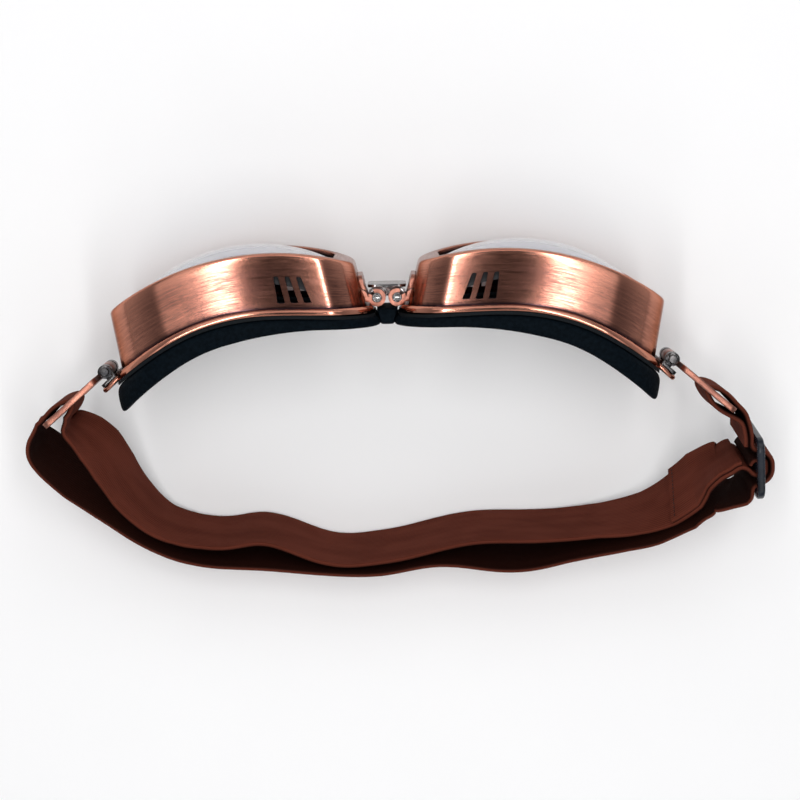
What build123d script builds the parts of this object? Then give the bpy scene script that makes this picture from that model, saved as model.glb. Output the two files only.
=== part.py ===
from build123d import *
from math import cos, radians, sin, sqrt, tan
import os

# Aviator flying goggles, standing upright on a table with the strap looped out behind them.
# X runs across the goggles towards the slider's side, Y points out through the lenses, Z is up.
# The origin lies on the table, midway between the two hinge pins of the bridge.
# Lengths are in millimetres and angles in degrees.

# Metal cups
CUP_WIDTH = 80.4
CUP_HEIGHT = 62.0
CUP_CENTRE_X = 49.0
CUP_SPLAY = 12.6
CUP_DRAFT = 2.6
CUP_WALL = 1.6
TOP_ARCH = 3.0
TEMPLE_ARCH = 2.5
FRONT_APEX = 14.1
FRONT_RADIUS = 85.0
FRONT_SHIFT = 2.5
LIP_THICKNESS = 1.2
LIP_WIDTH = 4.2
RIM_ROUND = 0.7
NASAL_TOP_ROUND = 12.0
TEMPLE_TOP_ROUND = 21.0
TEMPLE_BOTTOM_ROUND = 24.0
CHIN_ROUND = 15.0
NOSE_ROUND = 18.0
CHIN_SHARE = 0.26
NOSE_SHARE = 0.40
# Rolled flange that the face pad seats on
FLANGE_WIDTH = 2.2
FLANGE_THICKNESS = 1.7
FLANGE_SETBACK = 2.5
FLOOR_CLEARANCE = 0.7
HALF_WIDTH = 92.6
WRAP_DEPTH = 26.0
EAR_HEIGHT = 27.0
EAR_ROUND = 5.0
# Each pair is a share of HALF_WIDTH and a share of WRAP_DEPTH
WRAP_SHARES = [(-0.06, 0.0), (0.25, 0.0), (0.48, 0.012), (0.68, 0.20), (0.84, 0.53), (1.0, 1.0), (1.08, 1.3)]
# Vent slots, in the top and the bottom of each cup
VENT_LENGTH = 8.6
VENT_NARROW = 1.5
VENT_WIDE = 2.4
VENT_PITCH = 4.1
VENT_START_Y = -0.2
VENT_FIRST_X = 24.6
VENT_LEAN = 19.0
VENT_FAN = 4.0
VENT_COUNT = 3
VENT_ROUND = 0.5
# Lens with its seal and retainer
LENS_THICKNESS = 1.8
LENS_BULGE = 2.3
# How far the lens's edge sits behind the cup's front surface
LENS_SIDE_SINK = 3.23
LENS_TOP_SINK = 4.33
LENS_SHIFT = 1.5
SEAL_WIDTH = 1.5
SEAL_COVER = 3.6
SEAL_BACK = 0.4
SEAT_GAP = 0.1
RETAINER_WIDTH = 4.6
RETAINER_THICKNESS = 1.0
# Pad carrier and face cushion
CARRIER_THICKNESS = 1.0
CARRIER_WIDTH = 5.0
CARRIER_LIP = 1.7
CARRIER_LIP_WALL = 1.2
CUSHION_THICKNESS = 5.6
CUSHION_TEMPLE_EXTRA = 2.6
CUSHION_WIDTH = 8.5
CUSHION_OVERHANG = 0.5
CUSHION_ROUND = 1.8
CUSHION_GAP = 0.3
# Bridge hinge between the cups
PIN_SPACING = 6.4
PIN_RADIUS = 1.3
KNUCKLE_RADIUS = 2.8
HINGE_HEIGHT = 22.0
HINGE_RISE = 6.5
LINK_KNUCKLE = 8.4
KNUCKLE_GAP = 0.25
RUNNING_GAP = 0.08
LINK_PLATE = 1.0
LINK_PLATE_HEIGHT = 17.0
LINK_PLATE_ROUND = 2.5
LINK_HALF_LENGTH = 6.1
LINK_STANDOFF = 0.2
LINK_CLEARANCE = 0.4
LEAF_FOOT = 8.5
LEAF_START = -1.4
LEAF_THICKNESS = 1.25
LEAF_WEB = 2.4
LEAF_CORNER = 2.0
# The curl stays open between these two angles
CURL_OPEN_FROM = 28.0
CURL_OPEN_TO = 64.0
SCREW_HEAD_RADIUS = 1.55
SCREW_HEAD_HEIGHT = 0.8
SCREW_SLOT = 0.4
SCREW_NUT_RADIUS = 1.9
RIVET_RADIUS = 0.8
RIVET_HEAD_RADIUS = 1.5
RIVET_HEAD = 0.6
RIVET_SPREAD = 6.2
RIVET_DEPTH = 3.7
# Temple lug and the strap bracket that swings on it
LUG_STATION = 0.868
LUG_PLATE = 1.1
LUG_HEIGHT = 26.0
LUG_SPAN = 18.0
LUG_LENGTH = 6.4
LUG_ROUND = 1.2
LUG_STANDOFF = 3.6
LUG_RIVET_SPREAD = 10.8
BRACKET_KNUCKLE = 9.0
BRACKET_CURL_RADIUS = 2.2
BRACKET_PIN_RADIUS = 1.0
BRACKET_LENGTH = 25.4
BRACKET_HEIGHT = 33.0
BRACKET_THICKNESS = 1.9
BRACKET_RAIL = 2.6
BRACKET_BAR = 8.6
BRACKET_ROOT = 3.6
BRACKET_START = 2.7
BRACKET_CORNER = 1.4
LUG_PIN_HEAD = 0.7
LUG_PIN_HEAD_RADIUS = 1.5
BRACKET_ROUND = 2.2
BRACKET_ANGLE = -41.0
# Elastic strap
STRAP_WIDTH = 25.0
STRAP_THICKNESS = 1.5
STRAP_GAP = 0.35
STRAP_LEAN = 15.0
# Height of the strap's centre line where it rests on the table
STRAP_LOW = 12.35
# The two layers from the left bracket to the slider, as points of their centre lines
INNER_ROWS = [
    (-105.0, -38.5, 33.9), (-104.6, -41.0, 33.6), (-102.8, -44.6, 32.9), (-99.3, -52.6, 30.4), (-92.3, -66.8, 24.9), (-84.4, -73.4, 21.2),
    (-75.5, -78.0, 17.9), (-65.0, -80.5, 14.9), (-55.0, -80.0, 13.1), (-45.0, -78.0, 12.4), (-34.5, -81.5, 12.35),
    (-25.0, -86.0, 12.35), (-16.0, -88.0, 12.35), (-7.0, -87.5, 12.35), (2.0, -85.5, 12.35), (16.0, -81.0, 12.35),
    (29.0, -79.0, 12.35), (42.0, -80.5, 12.4), (55.0, -80.5, 13.0), (69.5, -77.6, 16.2), (84.0, -72.2, 21.3),
    (95.0, -66.6, 26.2), (102.3, -62.5, 29.2), (106.4, -60.2, 30.5),
]
OUTER_ROWS = [
    (-114.0, -39.4, 33.9), (-118.2, -44.8, 33.0), (-117.2, -54.3, 30.2), (-108.4, -64.9, 25.4), (-96.3, -76.5, 20.2),
    (-85.0, -83.5, 16.6), (-76.0, -87.0, 14.7), (-65.0, -88.5, 13.2), (-55.0, -89.2, 12.5), (-46.0, -89.7, 12.35),
    (-31.0, -91.0, 12.35), (-15.0, -92.0, 12.35), (-3.0, -91.6, 12.35), (11.0, -88.7, 12.35), (22.0, -89.5, 12.35),
    (36.0, -92.0, 12.35), (46.0, -91.6, 12.45), (59.0, -88.5, 13.1), (70.0, -85.8, 14.7), (80.0, -83.0, 16.9),
    (89.0, -79.5, 19.9), (101.3, -72.6, 24.9), (106.4, -70.5, 27.2), (109.9, -69.9, 28.4),
]
# Row where each layer leaves the left side, and row where it joins the right side
INNER_SPLITS = (7, 18)
OUTER_SPLITS = (7, 17)
SEWN_ROW = 20
SIDE_SECTIONS = 9
BACK_SECTIONS = 23
BAND_STATIONS = 25
SEWN_GAP = 0.05
# Fold of the webbing round the bracket's bar
FOLD_TIP = 2.6
FOLD_TAIL = 2.0
FOLD_END = (19.3, -2.5)
# The right loop's two legs past the bar, as distance along the bracket and forward of it
LOOP_OUTER_LEG = [(31.0, 0.4), (29.6, 1.2), (28.0, 1.75)]
LOOP_INNER_LEG = [(25.8, -2.0), (28.0, -1.5), (29.6, -1.4)]
# Nose pad between the cushions
NOSE_PAD_HEIGHT = 26.0
NOSE_PAD_WIDTH = 9.0
NOSE_PAD_THICKNESS = 5.4
NOSE_PAD_SETBACK = 3.2
# Slider: a frame with two slots and a centre bar
SLIDER_LENGTH = 21.0
SLIDER_HEIGHT = 33.0
SLIDER_THICKNESS = 2.4
SLIDER_BAR = 3.4
SLIDER_END = 3.0
SLIDER_SLOT = 27.0
SLIDER_ROUND = 4.5
SLIDER_SLOT_ROUND = 0.8
SLIDER_EDGE_ROUND = 0.7
SLIDER_EDGE_SHARE = 0.4
SLIDER_CENTRE = (118.8, -56.5, 31.5)
SLIDER_ANGLE = 92.0
SLIDER_RISE = 10.0
# Webbing that passes over the centre bar, as distance forward and outward from the slider's centre
PASS_POINTS = [
    (-12.6, -7.0), (-11.9, -4.2), (-10.2, -2.6), (-8.0, -2.3), (-6.6, -1.8), (-5.6, 0.0), (-4.6, 2.4), (-2.6, 4.0),
    (0.0, 4.4), (2.6, 4.0), (4.6, 2.4), (5.6, 0.0), (6.6, -1.8), (8.0, -2.3), (10.8, -2.35),
]
# Sewn loop round the centre bar and the tail by which it joins the inner layer
LOOP_LENGTH = 7.0
LOOP_DEPTH = 6.0
LOOP_ROUND = 2.2
TAIL_POINTS = [(1.0, -2.6), (0.4, -5.2), (-1.2, -8.5), (-2.2, -10.5)]
OVERRUN = 60.0
CORE_LENGTH = 1.6 * OVERRUN
LENS_REACH_SHARE = 0.7
HEAD_ROUND_SHARE = 0.45
WRAP_STATIONS = 13

CUP_CENTRE_Z = CUP_HEIGHT / 2 + FLANGE_WIDTH + FLOOR_CLEARANCE
LENS_APEX = FRONT_APEX + LENS_BULGE


def dome_radius(half_span, fall):
    """Radius of an arc that falls by an amount over half its span."""
    return (half_span**2 + fall**2) / (2 * fall)


# The lens's two radii follow from its size and from where its edge seats behind the lip
lens_half_w = CUP_WIDTH / 2 - CUP_WALL - SEAL_WIDTH
lens_half_h = CUP_HEIGHT / 2 - CUP_WALL - SEAL_WIDTH
front_fall = FRONT_RADIUS - sqrt(FRONT_RADIUS**2 - lens_half_w**2)
lens_side_radius = dome_radius(lens_half_w, front_fall + LENS_BULGE + LENS_SIDE_SINK)
lens_upright_radius = dome_radius(lens_half_h, LENS_BULGE + LENS_TOP_SINK)


def save(part, name):
    """Labels a finished piece and writes it as its own STEP file."""
    part.label = name
    export_step(part, "parts/" + name + ".step")


def both_sides(part, name):
    """Writes the piece modelled for +X and its mirror twin."""
    save(part, name + "_right")
    save(mirror(part, about=Plane.YZ), name + "_left")


os.makedirs("parts", exist_ok=True)

# Local frame of the right cup: x towards the nose, y up, z forward through the lens.
splay = radians(CUP_SPLAY)
cup_plane = Plane(
    origin=(CUP_CENTRE_X, 0, CUP_CENTRE_Z),
    x_dir=(-cos(splay), sin(splay), 0),
    z_dir=(sin(splay), cos(splay), 0),
)


def cup_outline(grow):
    """Front-view outline of the cup, grown by an amount. It is wide above and cut away for the nose."""
    half_w = CUP_WIDTH / 2
    half_h = CUP_HEIGHT / 2
    nasal_top = (half_w, half_h - TOP_ARCH)
    temple_top = (TEMPLE_ARCH - half_w, half_h - TOP_ARCH)
    temple_bottom = (TEMPLE_ARCH - half_w, -half_h)
    chin = (half_w * CHIN_SHARE, -half_h)
    nose = (half_w, -half_h * NOSE_SHARE)
    with BuildSketch(Plane.XY) as outline:
        with BuildLine():
            ThreePointArc(nasal_top, (0, half_h), temple_top)
            ThreePointArc(temple_top, (-half_w, 0), temple_bottom)
            Polyline(temple_bottom, chin, nose, nasal_top)
        make_face()
        corners = [
            (nasal_top, NASAL_TOP_ROUND),
            (temple_top, TEMPLE_TOP_ROUND),
            (temple_bottom, TEMPLE_BOTTOM_ROUND),
            (chin, CHIN_ROUND),
            (nose, NOSE_ROUND),
        ]
        for corner, radius in corners:
            nearest = outline.vertices().sort_by_distance((corner[0], corner[1], 0))[0]
            fillet(nearest, radius)
        if grow:
            offset(amount=grow)
    return outline.sketch


def cup_core(grow):
    """Solid of the drafted cup outline, running from behind the face pad to ahead of the lens."""
    spread = OVERRUN * tan(radians(CUP_DRAFT))
    with BuildPart() as core:
        with BuildSketch(cup_plane.offset(-OVERRUN)):
            add(cup_outline(grow + spread))
        extrude(amount=CORE_LENGTH, taper=CUP_DRAFT)
    return core.part


def wrap_edge():
    """Plan-view line of the flange's front face, flat at the nose and curling back at the temple."""
    points = [(x * HALF_WIDTH, -FLANGE_SETBACK - y * WRAP_DEPTH) for x, y in WRAP_SHARES]
    return Spline(*points)


def wrap_point(station, depth):
    """A point on the line that lies a depth behind the flange's front face, at a share of its length."""
    edge = wrap_edge()
    along = edge % station
    return edge @ station + Vector(along.Y, -along.X) * depth


def behind(depth, extra=0.0):
    """Everything behind the flange's front face by a depth, with more depth towards the temple."""
    stations = [i / (WRAP_STATIONS - 1) for i in range(WRAP_STATIONS)]
    points = [wrap_point(t, depth + extra * t * t) for t in stations]
    first = points[0]
    last = points[-1]
    with BuildPart() as region:
        with BuildSketch(Plane.XY):
            with BuildLine():
                Spline(*points)
                Polyline(last, (last.X, -2 * OVERRUN), (-OVERRUN, -2 * OVERRUN), (-OVERRUN, first.Y), first)
            make_face()
        extrude(amount=2 * OVERRUN, both=True)
    return region.part


def front_drum(inset):
    """Upright drum whose front surface is the cup's front surface, or lies an inset behind it."""
    axis = cup_plane.origin + cup_plane.x_dir * -FRONT_SHIFT + cup_plane.z_dir * (FRONT_APEX - FRONT_RADIUS)
    with BuildPart() as drum:
        with Locations((axis.X, axis.Y, CUP_CENTRE_Z)):
            Cylinder(FRONT_RADIUS - inset, 2 * OVERRUN)
    return drum.part


def lens_slab(start, thickness):
    """Slab that bulges both ways like the lens, from a depth behind its front surface."""
    axis = cup_plane.origin + cup_plane.x_dir * -LENS_SHIFT + cup_plane.z_dir * (LENS_APEX - lens_side_radius)
    reach = CUP_HEIGHT * LENS_REACH_SHARE
    centre = lens_side_radius - lens_upright_radius
    outer = lens_upright_radius - start
    inner = outer - thickness
    with BuildPart() as slab:
        with BuildSketch(Plane(origin=axis, x_dir=-cup_plane.x_dir, z_dir=cup_plane.z_dir)):
            with BuildLine():
                outer_x = centre + sqrt(outer**2 - reach**2)
                inner_x = centre + sqrt(inner**2 - reach**2)
                ThreePointArc((outer_x, -reach), (centre + outer, 0), (outer_x, reach))
                Line((outer_x, reach), (inner_x, reach))
                ThreePointArc((inner_x, reach), (centre + inner, 0), (inner_x, -reach))
                Line((inner_x, -reach), (outer_x, -reach))
            make_face()
        revolve(axis=Axis(axis, (0, 0, 1)), revolution_arc=180)
    return slab.part


# Cup: drafted wall, inward lip round the lens, rolled flange and temple ear in one metal piece
with BuildPart() as ear_block:
    with BuildSketch(Plane.XZ.offset(-OVERRUN)):
        with Locations(((HALF_WIDTH + CUP_CENTRE_X) / 2, CUP_CENTRE_Z)):
            RectangleRounded(HALF_WIDTH - CUP_CENTRE_X, EAR_HEIGHT, EAR_ROUND)
    extrude(amount=2 * OVERRUN)
with BuildPart() as flange_band:
    add(cup_core(FLANGE_WIDTH))
    add(ear_block.part)
    add(behind(0), mode=Mode.INTERSECT)
    add(behind(FLANGE_THICKNESS), mode=Mode.SUBTRACT)
cavity = cup_core(-CUP_WALL)
window = cup_core(-CUP_WALL - LIP_WIDTH)
with BuildPart() as vents:
    for i in range(VENT_COUNT):
        lean = radians(VENT_LEAN - VENT_FAN * i)
        back_x = VENT_FIRST_X + VENT_PITCH * i
        front_x = back_x + VENT_LENGTH * sin(lean)
        front_y = VENT_START_Y + VENT_LENGTH * cos(lean)
        with BuildSketch(Plane.XY):
            with BuildLine():
                Polyline(
                    (back_x - VENT_WIDE / 2, VENT_START_Y),
                    (back_x + VENT_WIDE / 2, VENT_START_Y),
                    (front_x + VENT_NARROW / 2, front_y),
                    (front_x - VENT_NARROW / 2, front_y),
                    close=True,
                )
            make_face()
            fillet(vertices(), VENT_ROUND)
        extrude(amount=2 * OVERRUN)
with BuildPart() as cup_shell:
    add(cup_core(0))
    add(front_drum(0), mode=Mode.INTERSECT)
    front = cup_shell.faces().sort_by_distance(cup_plane.origin + cup_plane.z_dir * OVERRUN)[0]
    fillet(front.edges(), RIM_ROUND)
    add(behind(FLANGE_THICKNESS), mode=Mode.SUBTRACT)
    add(flange_band.part)
    add(cavity.intersect(front_drum(LIP_THICKNESS)), mode=Mode.SUBTRACT)
    add(window, mode=Mode.SUBTRACT)
    add(vents.part, mode=Mode.SUBTRACT)

# Lens, the rubber seal round its edge and the metal retainer behind it
lens_core = cup_core(-CUP_WALL - SEAL_WIDTH)
seat_core = cup_core(-CUP_WALL - SEAT_GAP)
with BuildPart() as lens:
    add(lens_core)
    add(lens_slab(0, LENS_THICKNESS), mode=Mode.INTERSECT)
with BuildPart() as lens_seal:
    add(seat_core)
    add(lens_slab(-LENS_BULGE, LENS_BULGE + LENS_THICKNESS + SEAL_BACK), mode=Mode.INTERSECT)
    add(front_drum(LIP_THICKNESS + SEAT_GAP), mode=Mode.INTERSECT)
    add(cup_core(-CUP_WALL - SEAL_COVER), mode=Mode.SUBTRACT)
    add(lens.part, mode=Mode.SUBTRACT)
with BuildPart() as lens_retainer:
    add(seat_core)
    add(lens_slab(LENS_THICKNESS + SEAL_BACK, RETAINER_THICKNESS), mode=Mode.INTERSECT)
    add(cup_core(-CUP_WALL - RETAINER_WIDTH), mode=Mode.SUBTRACT)

# Pad carrier: flat ring behind the flange with a lip that reaches into the cup
with BuildPart() as pad_carrier:
    add(cup_core(FLANGE_WIDTH))
    add(behind(FLANGE_THICKNESS), mode=Mode.INTERSECT)
    add(behind(FLANGE_THICKNESS + CARRIER_THICKNESS), mode=Mode.SUBTRACT)
    add(cup_core(-CARRIER_WIDTH), mode=Mode.SUBTRACT)
with BuildPart() as carrier_lip:
    add(cup_core(-CUP_WALL - SEAT_GAP))
    add(behind(FLANGE_THICKNESS - CARRIER_LIP), mode=Mode.INTERSECT)
    add(behind(FLANGE_THICKNESS + CARRIER_THICKNESS), mode=Mode.SUBTRACT)
    add(cup_core(-CUP_WALL - SEAT_GAP - CARRIER_LIP_WALL), mode=Mode.SUBTRACT)
pad_carrier = pad_carrier.part + carrier_lip.part

# Face cushion: foam ring on the carrier, thicker at the temple and trimmed flat underneath
cushion_front = FLANGE_THICKNESS + CARRIER_THICKNESS
with BuildPart() as face_cushion:
    add(cup_core(FLANGE_WIDTH + CUSHION_OVERHANG))
    add(behind(cushion_front), mode=Mode.INTERSECT)
    add(behind(cushion_front + CUSHION_THICKNESS, CUSHION_TEMPLE_EXTRA), mode=Mode.SUBTRACT)
    back = face_cushion.faces().sort_by_distance(cup_plane.origin - cup_plane.z_dir * OVERRUN)[0]
    fillet(back.edges(), CUSHION_ROUND)
    add(cup_core(FLANGE_WIDTH + CUSHION_OVERHANG - CUSHION_WIDTH), mode=Mode.SUBTRACT)
    with Locations((CUP_CENTRE_X, 0, -OVERRUN / 2)):
        Box(2 * OVERRUN, 2 * OVERRUN, OVERRUN, mode=Mode.SUBTRACT)

# Bridge hinge: two upright pins, a link between them and an open-curled leaf on each cup
pin_x = PIN_SPACING / 2
hinge_z = CUP_CENTRE_Z + HINGE_RISE
leaf_knuckle = (HINGE_HEIGHT - LINK_KNUCKLE) / 2 - KNUCKLE_GAP
leaf_z = (HINGE_HEIGHT - leaf_knuckle) / 2


def tube(radius, bore, height):
    """Upright tube about the current location."""
    Cylinder(radius, height)
    Cylinder(bore, height, mode=Mode.SUBTRACT)


with BuildPart() as leaf_foot:
    add(cup_core(LEAF_THICKNESS + SEAT_GAP))
    with BuildSketch(Plane.YZ) as foot_side:
        with Locations((LEAF_START + LEAF_FOOT / 2, hinge_z)):
            RectangleRounded(LEAF_FOOT, HINGE_HEIGHT, LEAF_CORNER)
    extrude(amount=CUP_CENTRE_X / 2, mode=Mode.INTERSECT)
with BuildPart() as hinge_leaf:
    add(leaf_foot.part)
    with Locations((pin_x, 0, hinge_z - leaf_z), (pin_x, 0, hinge_z + leaf_z)):
        Cylinder(KNUCKLE_RADIUS, leaf_knuckle)
        with Locations((KNUCKLE_RADIUS, LEAF_START / 2, 0)):
            Box(LEAF_WEB, -LEAF_START, leaf_knuckle)
    add(cup_core(SEAT_GAP), mode=Mode.SUBTRACT)
    with Locations((pin_x, 0, hinge_z)):
        Cylinder(KNUCKLE_RADIUS + LINK_CLEARANCE, LINK_KNUCKLE + 2 * KNUCKLE_GAP, mode=Mode.SUBTRACT)
    reach = 2 * KNUCKLE_RADIUS
    mouth = [(reach * cos(radians(a)), reach * sin(radians(a))) for a in (CURL_OPEN_FROM, CURL_OPEN_TO)]
    for sign in (-1, 1):
        with BuildSketch(Plane.XY.offset(hinge_z + sign * leaf_z - leaf_knuckle / 2)):
            with Locations((pin_x, 0)):
                Circle(PIN_RADIUS + RUNNING_GAP)
            with BuildLine():
                Polyline((pin_x, 0), (pin_x + mouth[0][0], mouth[0][1]), (pin_x + mouth[1][0], mouth[1][1]), close=True)
            make_face()
        extrude(amount=leaf_knuckle, mode=Mode.SUBTRACT)
with BuildPart() as bridge_link:
    with Locations((-pin_x, 0, hinge_z), (pin_x, 0, hinge_z)):
        Cylinder(KNUCKLE_RADIUS, LINK_KNUCKLE)
    plate_y = KNUCKLE_RADIUS + LINK_STANDOFF
    with Locations((0, plate_y / 2, hinge_z)):
        Box(PIN_SPACING, plate_y, LINK_KNUCKLE)
    with BuildSketch(Plane.XZ.offset(-plate_y)):
        with Locations((0, hinge_z)):
            RectangleRounded(2 * LINK_HALF_LENGTH, LINK_PLATE_HEIGHT, LINK_PLATE_ROUND)
    extrude(amount=-LINK_PLATE)
    with Locations((-pin_x, 0, hinge_z), (pin_x, 0, hinge_z)):
        Cylinder(PIN_RADIUS + RUNNING_GAP, LINK_KNUCKLE, mode=Mode.SUBTRACT)
top_z = hinge_z + HINGE_HEIGHT / 2
with BuildPart() as hinge_screw:
    with Locations((pin_x, 0, hinge_z)):
        Cylinder(PIN_RADIUS, HINGE_HEIGHT + 2 * RUNNING_GAP)
    with Locations((pin_x, 0, top_z + RUNNING_GAP + SCREW_HEAD_HEIGHT / 2)):
        Cylinder(SCREW_HEAD_RADIUS, SCREW_HEAD_HEIGHT)
    head_edge = hinge_screw.faces().sort_by(Axis.Z)[-1].edges()
    fillet(head_edge, SCREW_HEAD_HEIGHT * HEAD_ROUND_SHARE)
    with Locations((pin_x, 0, top_z + RUNNING_GAP + SCREW_HEAD_HEIGHT)):
        Box(2 * SCREW_HEAD_RADIUS, SCREW_SLOT, SCREW_HEAD_HEIGHT, mode=Mode.SUBTRACT)
    with Locations((pin_x, 0, hinge_z - HINGE_HEIGHT / 2 - RUNNING_GAP - SCREW_HEAD_HEIGHT / 2)):
        Cylinder(SCREW_NUT_RADIUS, SCREW_HEAD_HEIGHT)


def rivet(seat, grip, radius, head):
    """Rivet whose head sits on the seat plane, with its tail filed flush at the end of the grip."""
    with BuildPart(seat) as made:
        with Locations((0, 0, -grip / 2)):
            Cylinder(radius, grip)
        if head:
            with Locations((0, 0, head / 2)):
                Cylinder(RIVET_HEAD_RADIUS, head)
            outer = made.faces().sort_by_distance(seat.origin + seat.z_dir * OVERRUN)[0]
            fillet(outer.edges(), head * HEAD_ROUND_SHARE)
    return made.part


# Rivets that hold the leaf on the nasal wall, square to the wall
draft = radians(CUP_DRAFT)
wall_out = cup_plane.x_dir * cos(draft) + cup_plane.z_dir * sin(draft)
wall_u = CUP_WIDTH / 2 + RIVET_DEPTH * tan(draft)
leaf_grip = LEAF_THICKNESS + SEAT_GAP + CUP_WALL
leaf_seats = []
for sign in (-1, 1):
    on_wall = cup_plane.from_local_coords(Vector(wall_u, HINGE_RISE + sign * RIVET_SPREAD, -RIVET_DEPTH))
    leaf_seats.append(Plane(on_wall + wall_out * (LEAF_THICKNESS + SEAT_GAP), x_dir=(0, 0, 1), z_dir=wall_out))

# Temple lug: a plate on the flange ear with two knuckles, and a pin for the strap bracket
lug_base = wrap_point(LUG_STATION, 0)
lug_axis = wrap_point(LUG_STATION, -LUG_STANDOFF)
lug_out = (lug_axis - lug_base).normalized()
lug_plane = Plane((lug_base.X, lug_base.Y, CUP_CENTRE_Z), x_dir=(0, 0, 1), z_dir=lug_out)
lug_knuckle = (LUG_SPAN - BRACKET_KNUCKLE) / 2 - KNUCKLE_GAP
lug_z = (LUG_SPAN - lug_knuckle) / 2
with BuildPart() as lug_plate:
    with BuildSketch(lug_plane.offset(-LUG_STANDOFF)):
        RectangleRounded(LUG_HEIGHT, LUG_LENGTH, LUG_ROUND)
    extrude(amount=2 * LUG_STANDOFF)
    add(behind(-LUG_PLATE), mode=Mode.INTERSECT)
    add(behind(0), mode=Mode.SUBTRACT)
with BuildPart() as strap_lug:
    add(lug_plate.part)
    for sign in (-1, 1):
        with Locations((lug_axis.X, lug_axis.Y, CUP_CENTRE_Z + sign * lug_z)):
            Cylinder(BRACKET_CURL_RADIUS, lug_knuckle)
        with BuildSketch(lug_plane.offset(LUG_PLATE / 2)):
            with Locations((sign * lug_z, 0)):
                Rectangle(lug_knuckle, BRACKET_CURL_RADIUS)
        extrude(amount=LUG_STANDOFF - LUG_PLATE / 2)
    with Locations((lug_axis.X, lug_axis.Y, CUP_CENTRE_Z)):
        Cylinder(BRACKET_PIN_RADIUS + RUNNING_GAP, LUG_SPAN, mode=Mode.SUBTRACT)
with BuildPart(Plane((lug_axis.X, lug_axis.Y, CUP_CENTRE_Z))) as lug_pin:
    Cylinder(BRACKET_PIN_RADIUS, LUG_SPAN + 2 * RUNNING_GAP)
    pin_end = LUG_SPAN / 2 + RUNNING_GAP + LUG_PIN_HEAD / 2
    with Locations((0, 0, pin_end), (0, 0, -pin_end)):
        Cylinder(LUG_PIN_HEAD_RADIUS, LUG_PIN_HEAD)
    fillet(lug_pin.faces().sort_by(Axis.Z)[-1].edges(), LUG_PIN_HEAD * HEAD_ROUND_SHARE)
lug_seats = [lug_plane.offset(LUG_PLATE) * Location((sign * LUG_RIVET_SPREAD, 0, 0)) for sign in (-1, 1)]
lug_seats = [Plane(seat) for seat in lug_seats]

# Strap bracket: a curled knuckle and a flat frame whose outer bar carries the strap
swing = radians(BRACKET_ANGLE)
bracket_plane = Plane(
    (lug_axis.X, lug_axis.Y, CUP_CENTRE_Z), x_dir=(cos(swing), sin(swing), 0), z_dir=(-sin(swing), cos(swing), 0)
)
window_start = BRACKET_START + BRACKET_ROOT
window_end = BRACKET_LENGTH - BRACKET_BAR
with BuildPart() as strap_bracket:
    with BuildSketch(bracket_plane.offset(-BRACKET_THICKNESS / 2)):
        with Locations(((BRACKET_START + BRACKET_LENGTH) / 2, 0)):
            RectangleRounded(BRACKET_LENGTH - BRACKET_START, BRACKET_HEIGHT, BRACKET_ROUND)
        with Locations(((window_start + window_end) / 2, 0)):
            RectangleRounded(
                window_end - window_start, BRACKET_HEIGHT - 2 * BRACKET_RAIL, BRACKET_CORNER, mode=Mode.SUBTRACT
            )
        with Locations((BRACKET_START / 2, 0)):
            Rectangle(BRACKET_START, BRACKET_KNUCKLE)
    extrude(amount=BRACKET_THICKNESS)
    with Locations((lug_axis.X, lug_axis.Y, CUP_CENTRE_Z)):
        Cylinder(BRACKET_CURL_RADIUS, BRACKET_KNUCKLE)
        Cylinder(BRACKET_PIN_RADIUS + RUNNING_GAP, BRACKET_KNUCKLE, mode=Mode.SUBTRACT)

# Rivet holes, and the rivets themselves
leaf_part = hinge_leaf.part
lug_part = strap_lug.part
cup_part = cup_shell.part
for seat in leaf_seats:
    hole = rivet(seat, leaf_grip, RIVET_RADIUS, 0)
    leaf_part -= hole
    cup_part -= hole
lug_grip = LUG_PLATE + FLANGE_THICKNESS
for seat in lug_seats:
    hole = rivet(seat, lug_grip, RIVET_RADIUS, 0)
    lug_part -= hole
    cup_part -= hole
leaf_rivets = [rivet(seat, leaf_grip, RIVET_RADIUS, RIVET_HEAD) for seat in leaf_seats]
lug_rivets = [rivet(seat, lug_grip, RIVET_RADIUS, RIVET_HEAD) for seat in lug_seats]

# Elastic strap. Rows are points of each layer's centre line, from the left bracket to the slider.
def centre_line(rows):
    """Curve in space through the rows of one strap layer."""
    return Spline(*[Vector(*row) for row in rows])


def strap_plane(line, station):
    """Section plane of the strap at a station, leaning out as the strap sinks to the table."""
    here = line @ station
    along = line % station
    sunk = (CUP_CENTRE_Z - here.Z) / (CUP_CENTRE_Z - STRAP_LOW)
    lean = radians(STRAP_LEAN * sunk)
    level = Vector(along.X, along.Y, 0).normalized()
    outward = Vector(level.Y, -level.X, 0)
    up = outward * sin(lean) + Vector(0, 0, cos(lean))
    across = along.cross(up).normalized()
    return Plane(here, x_dir=across, z_dir=along)


def strap_length(rows, first, last, sections, shift=0.0):
    """Solid stretch of webbing between two rows, a little short of both, shifted outwards if need be."""
    line = centre_line(rows)
    trim = STRAP_GAP / line.length
    start = line.param_at_point(Vector(*rows[first])) + trim
    end = line.param_at_point(Vector(*rows[last])) - trim
    with BuildPart() as made:
        for i in range(sections):
            with BuildSketch(strap_plane(line, start + (end - start) * i / (sections - 1))):
                with Locations((shift, 0)):
                    Rectangle(STRAP_THICKNESS, STRAP_WIDTH)
        loft()
    return made.part


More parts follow.
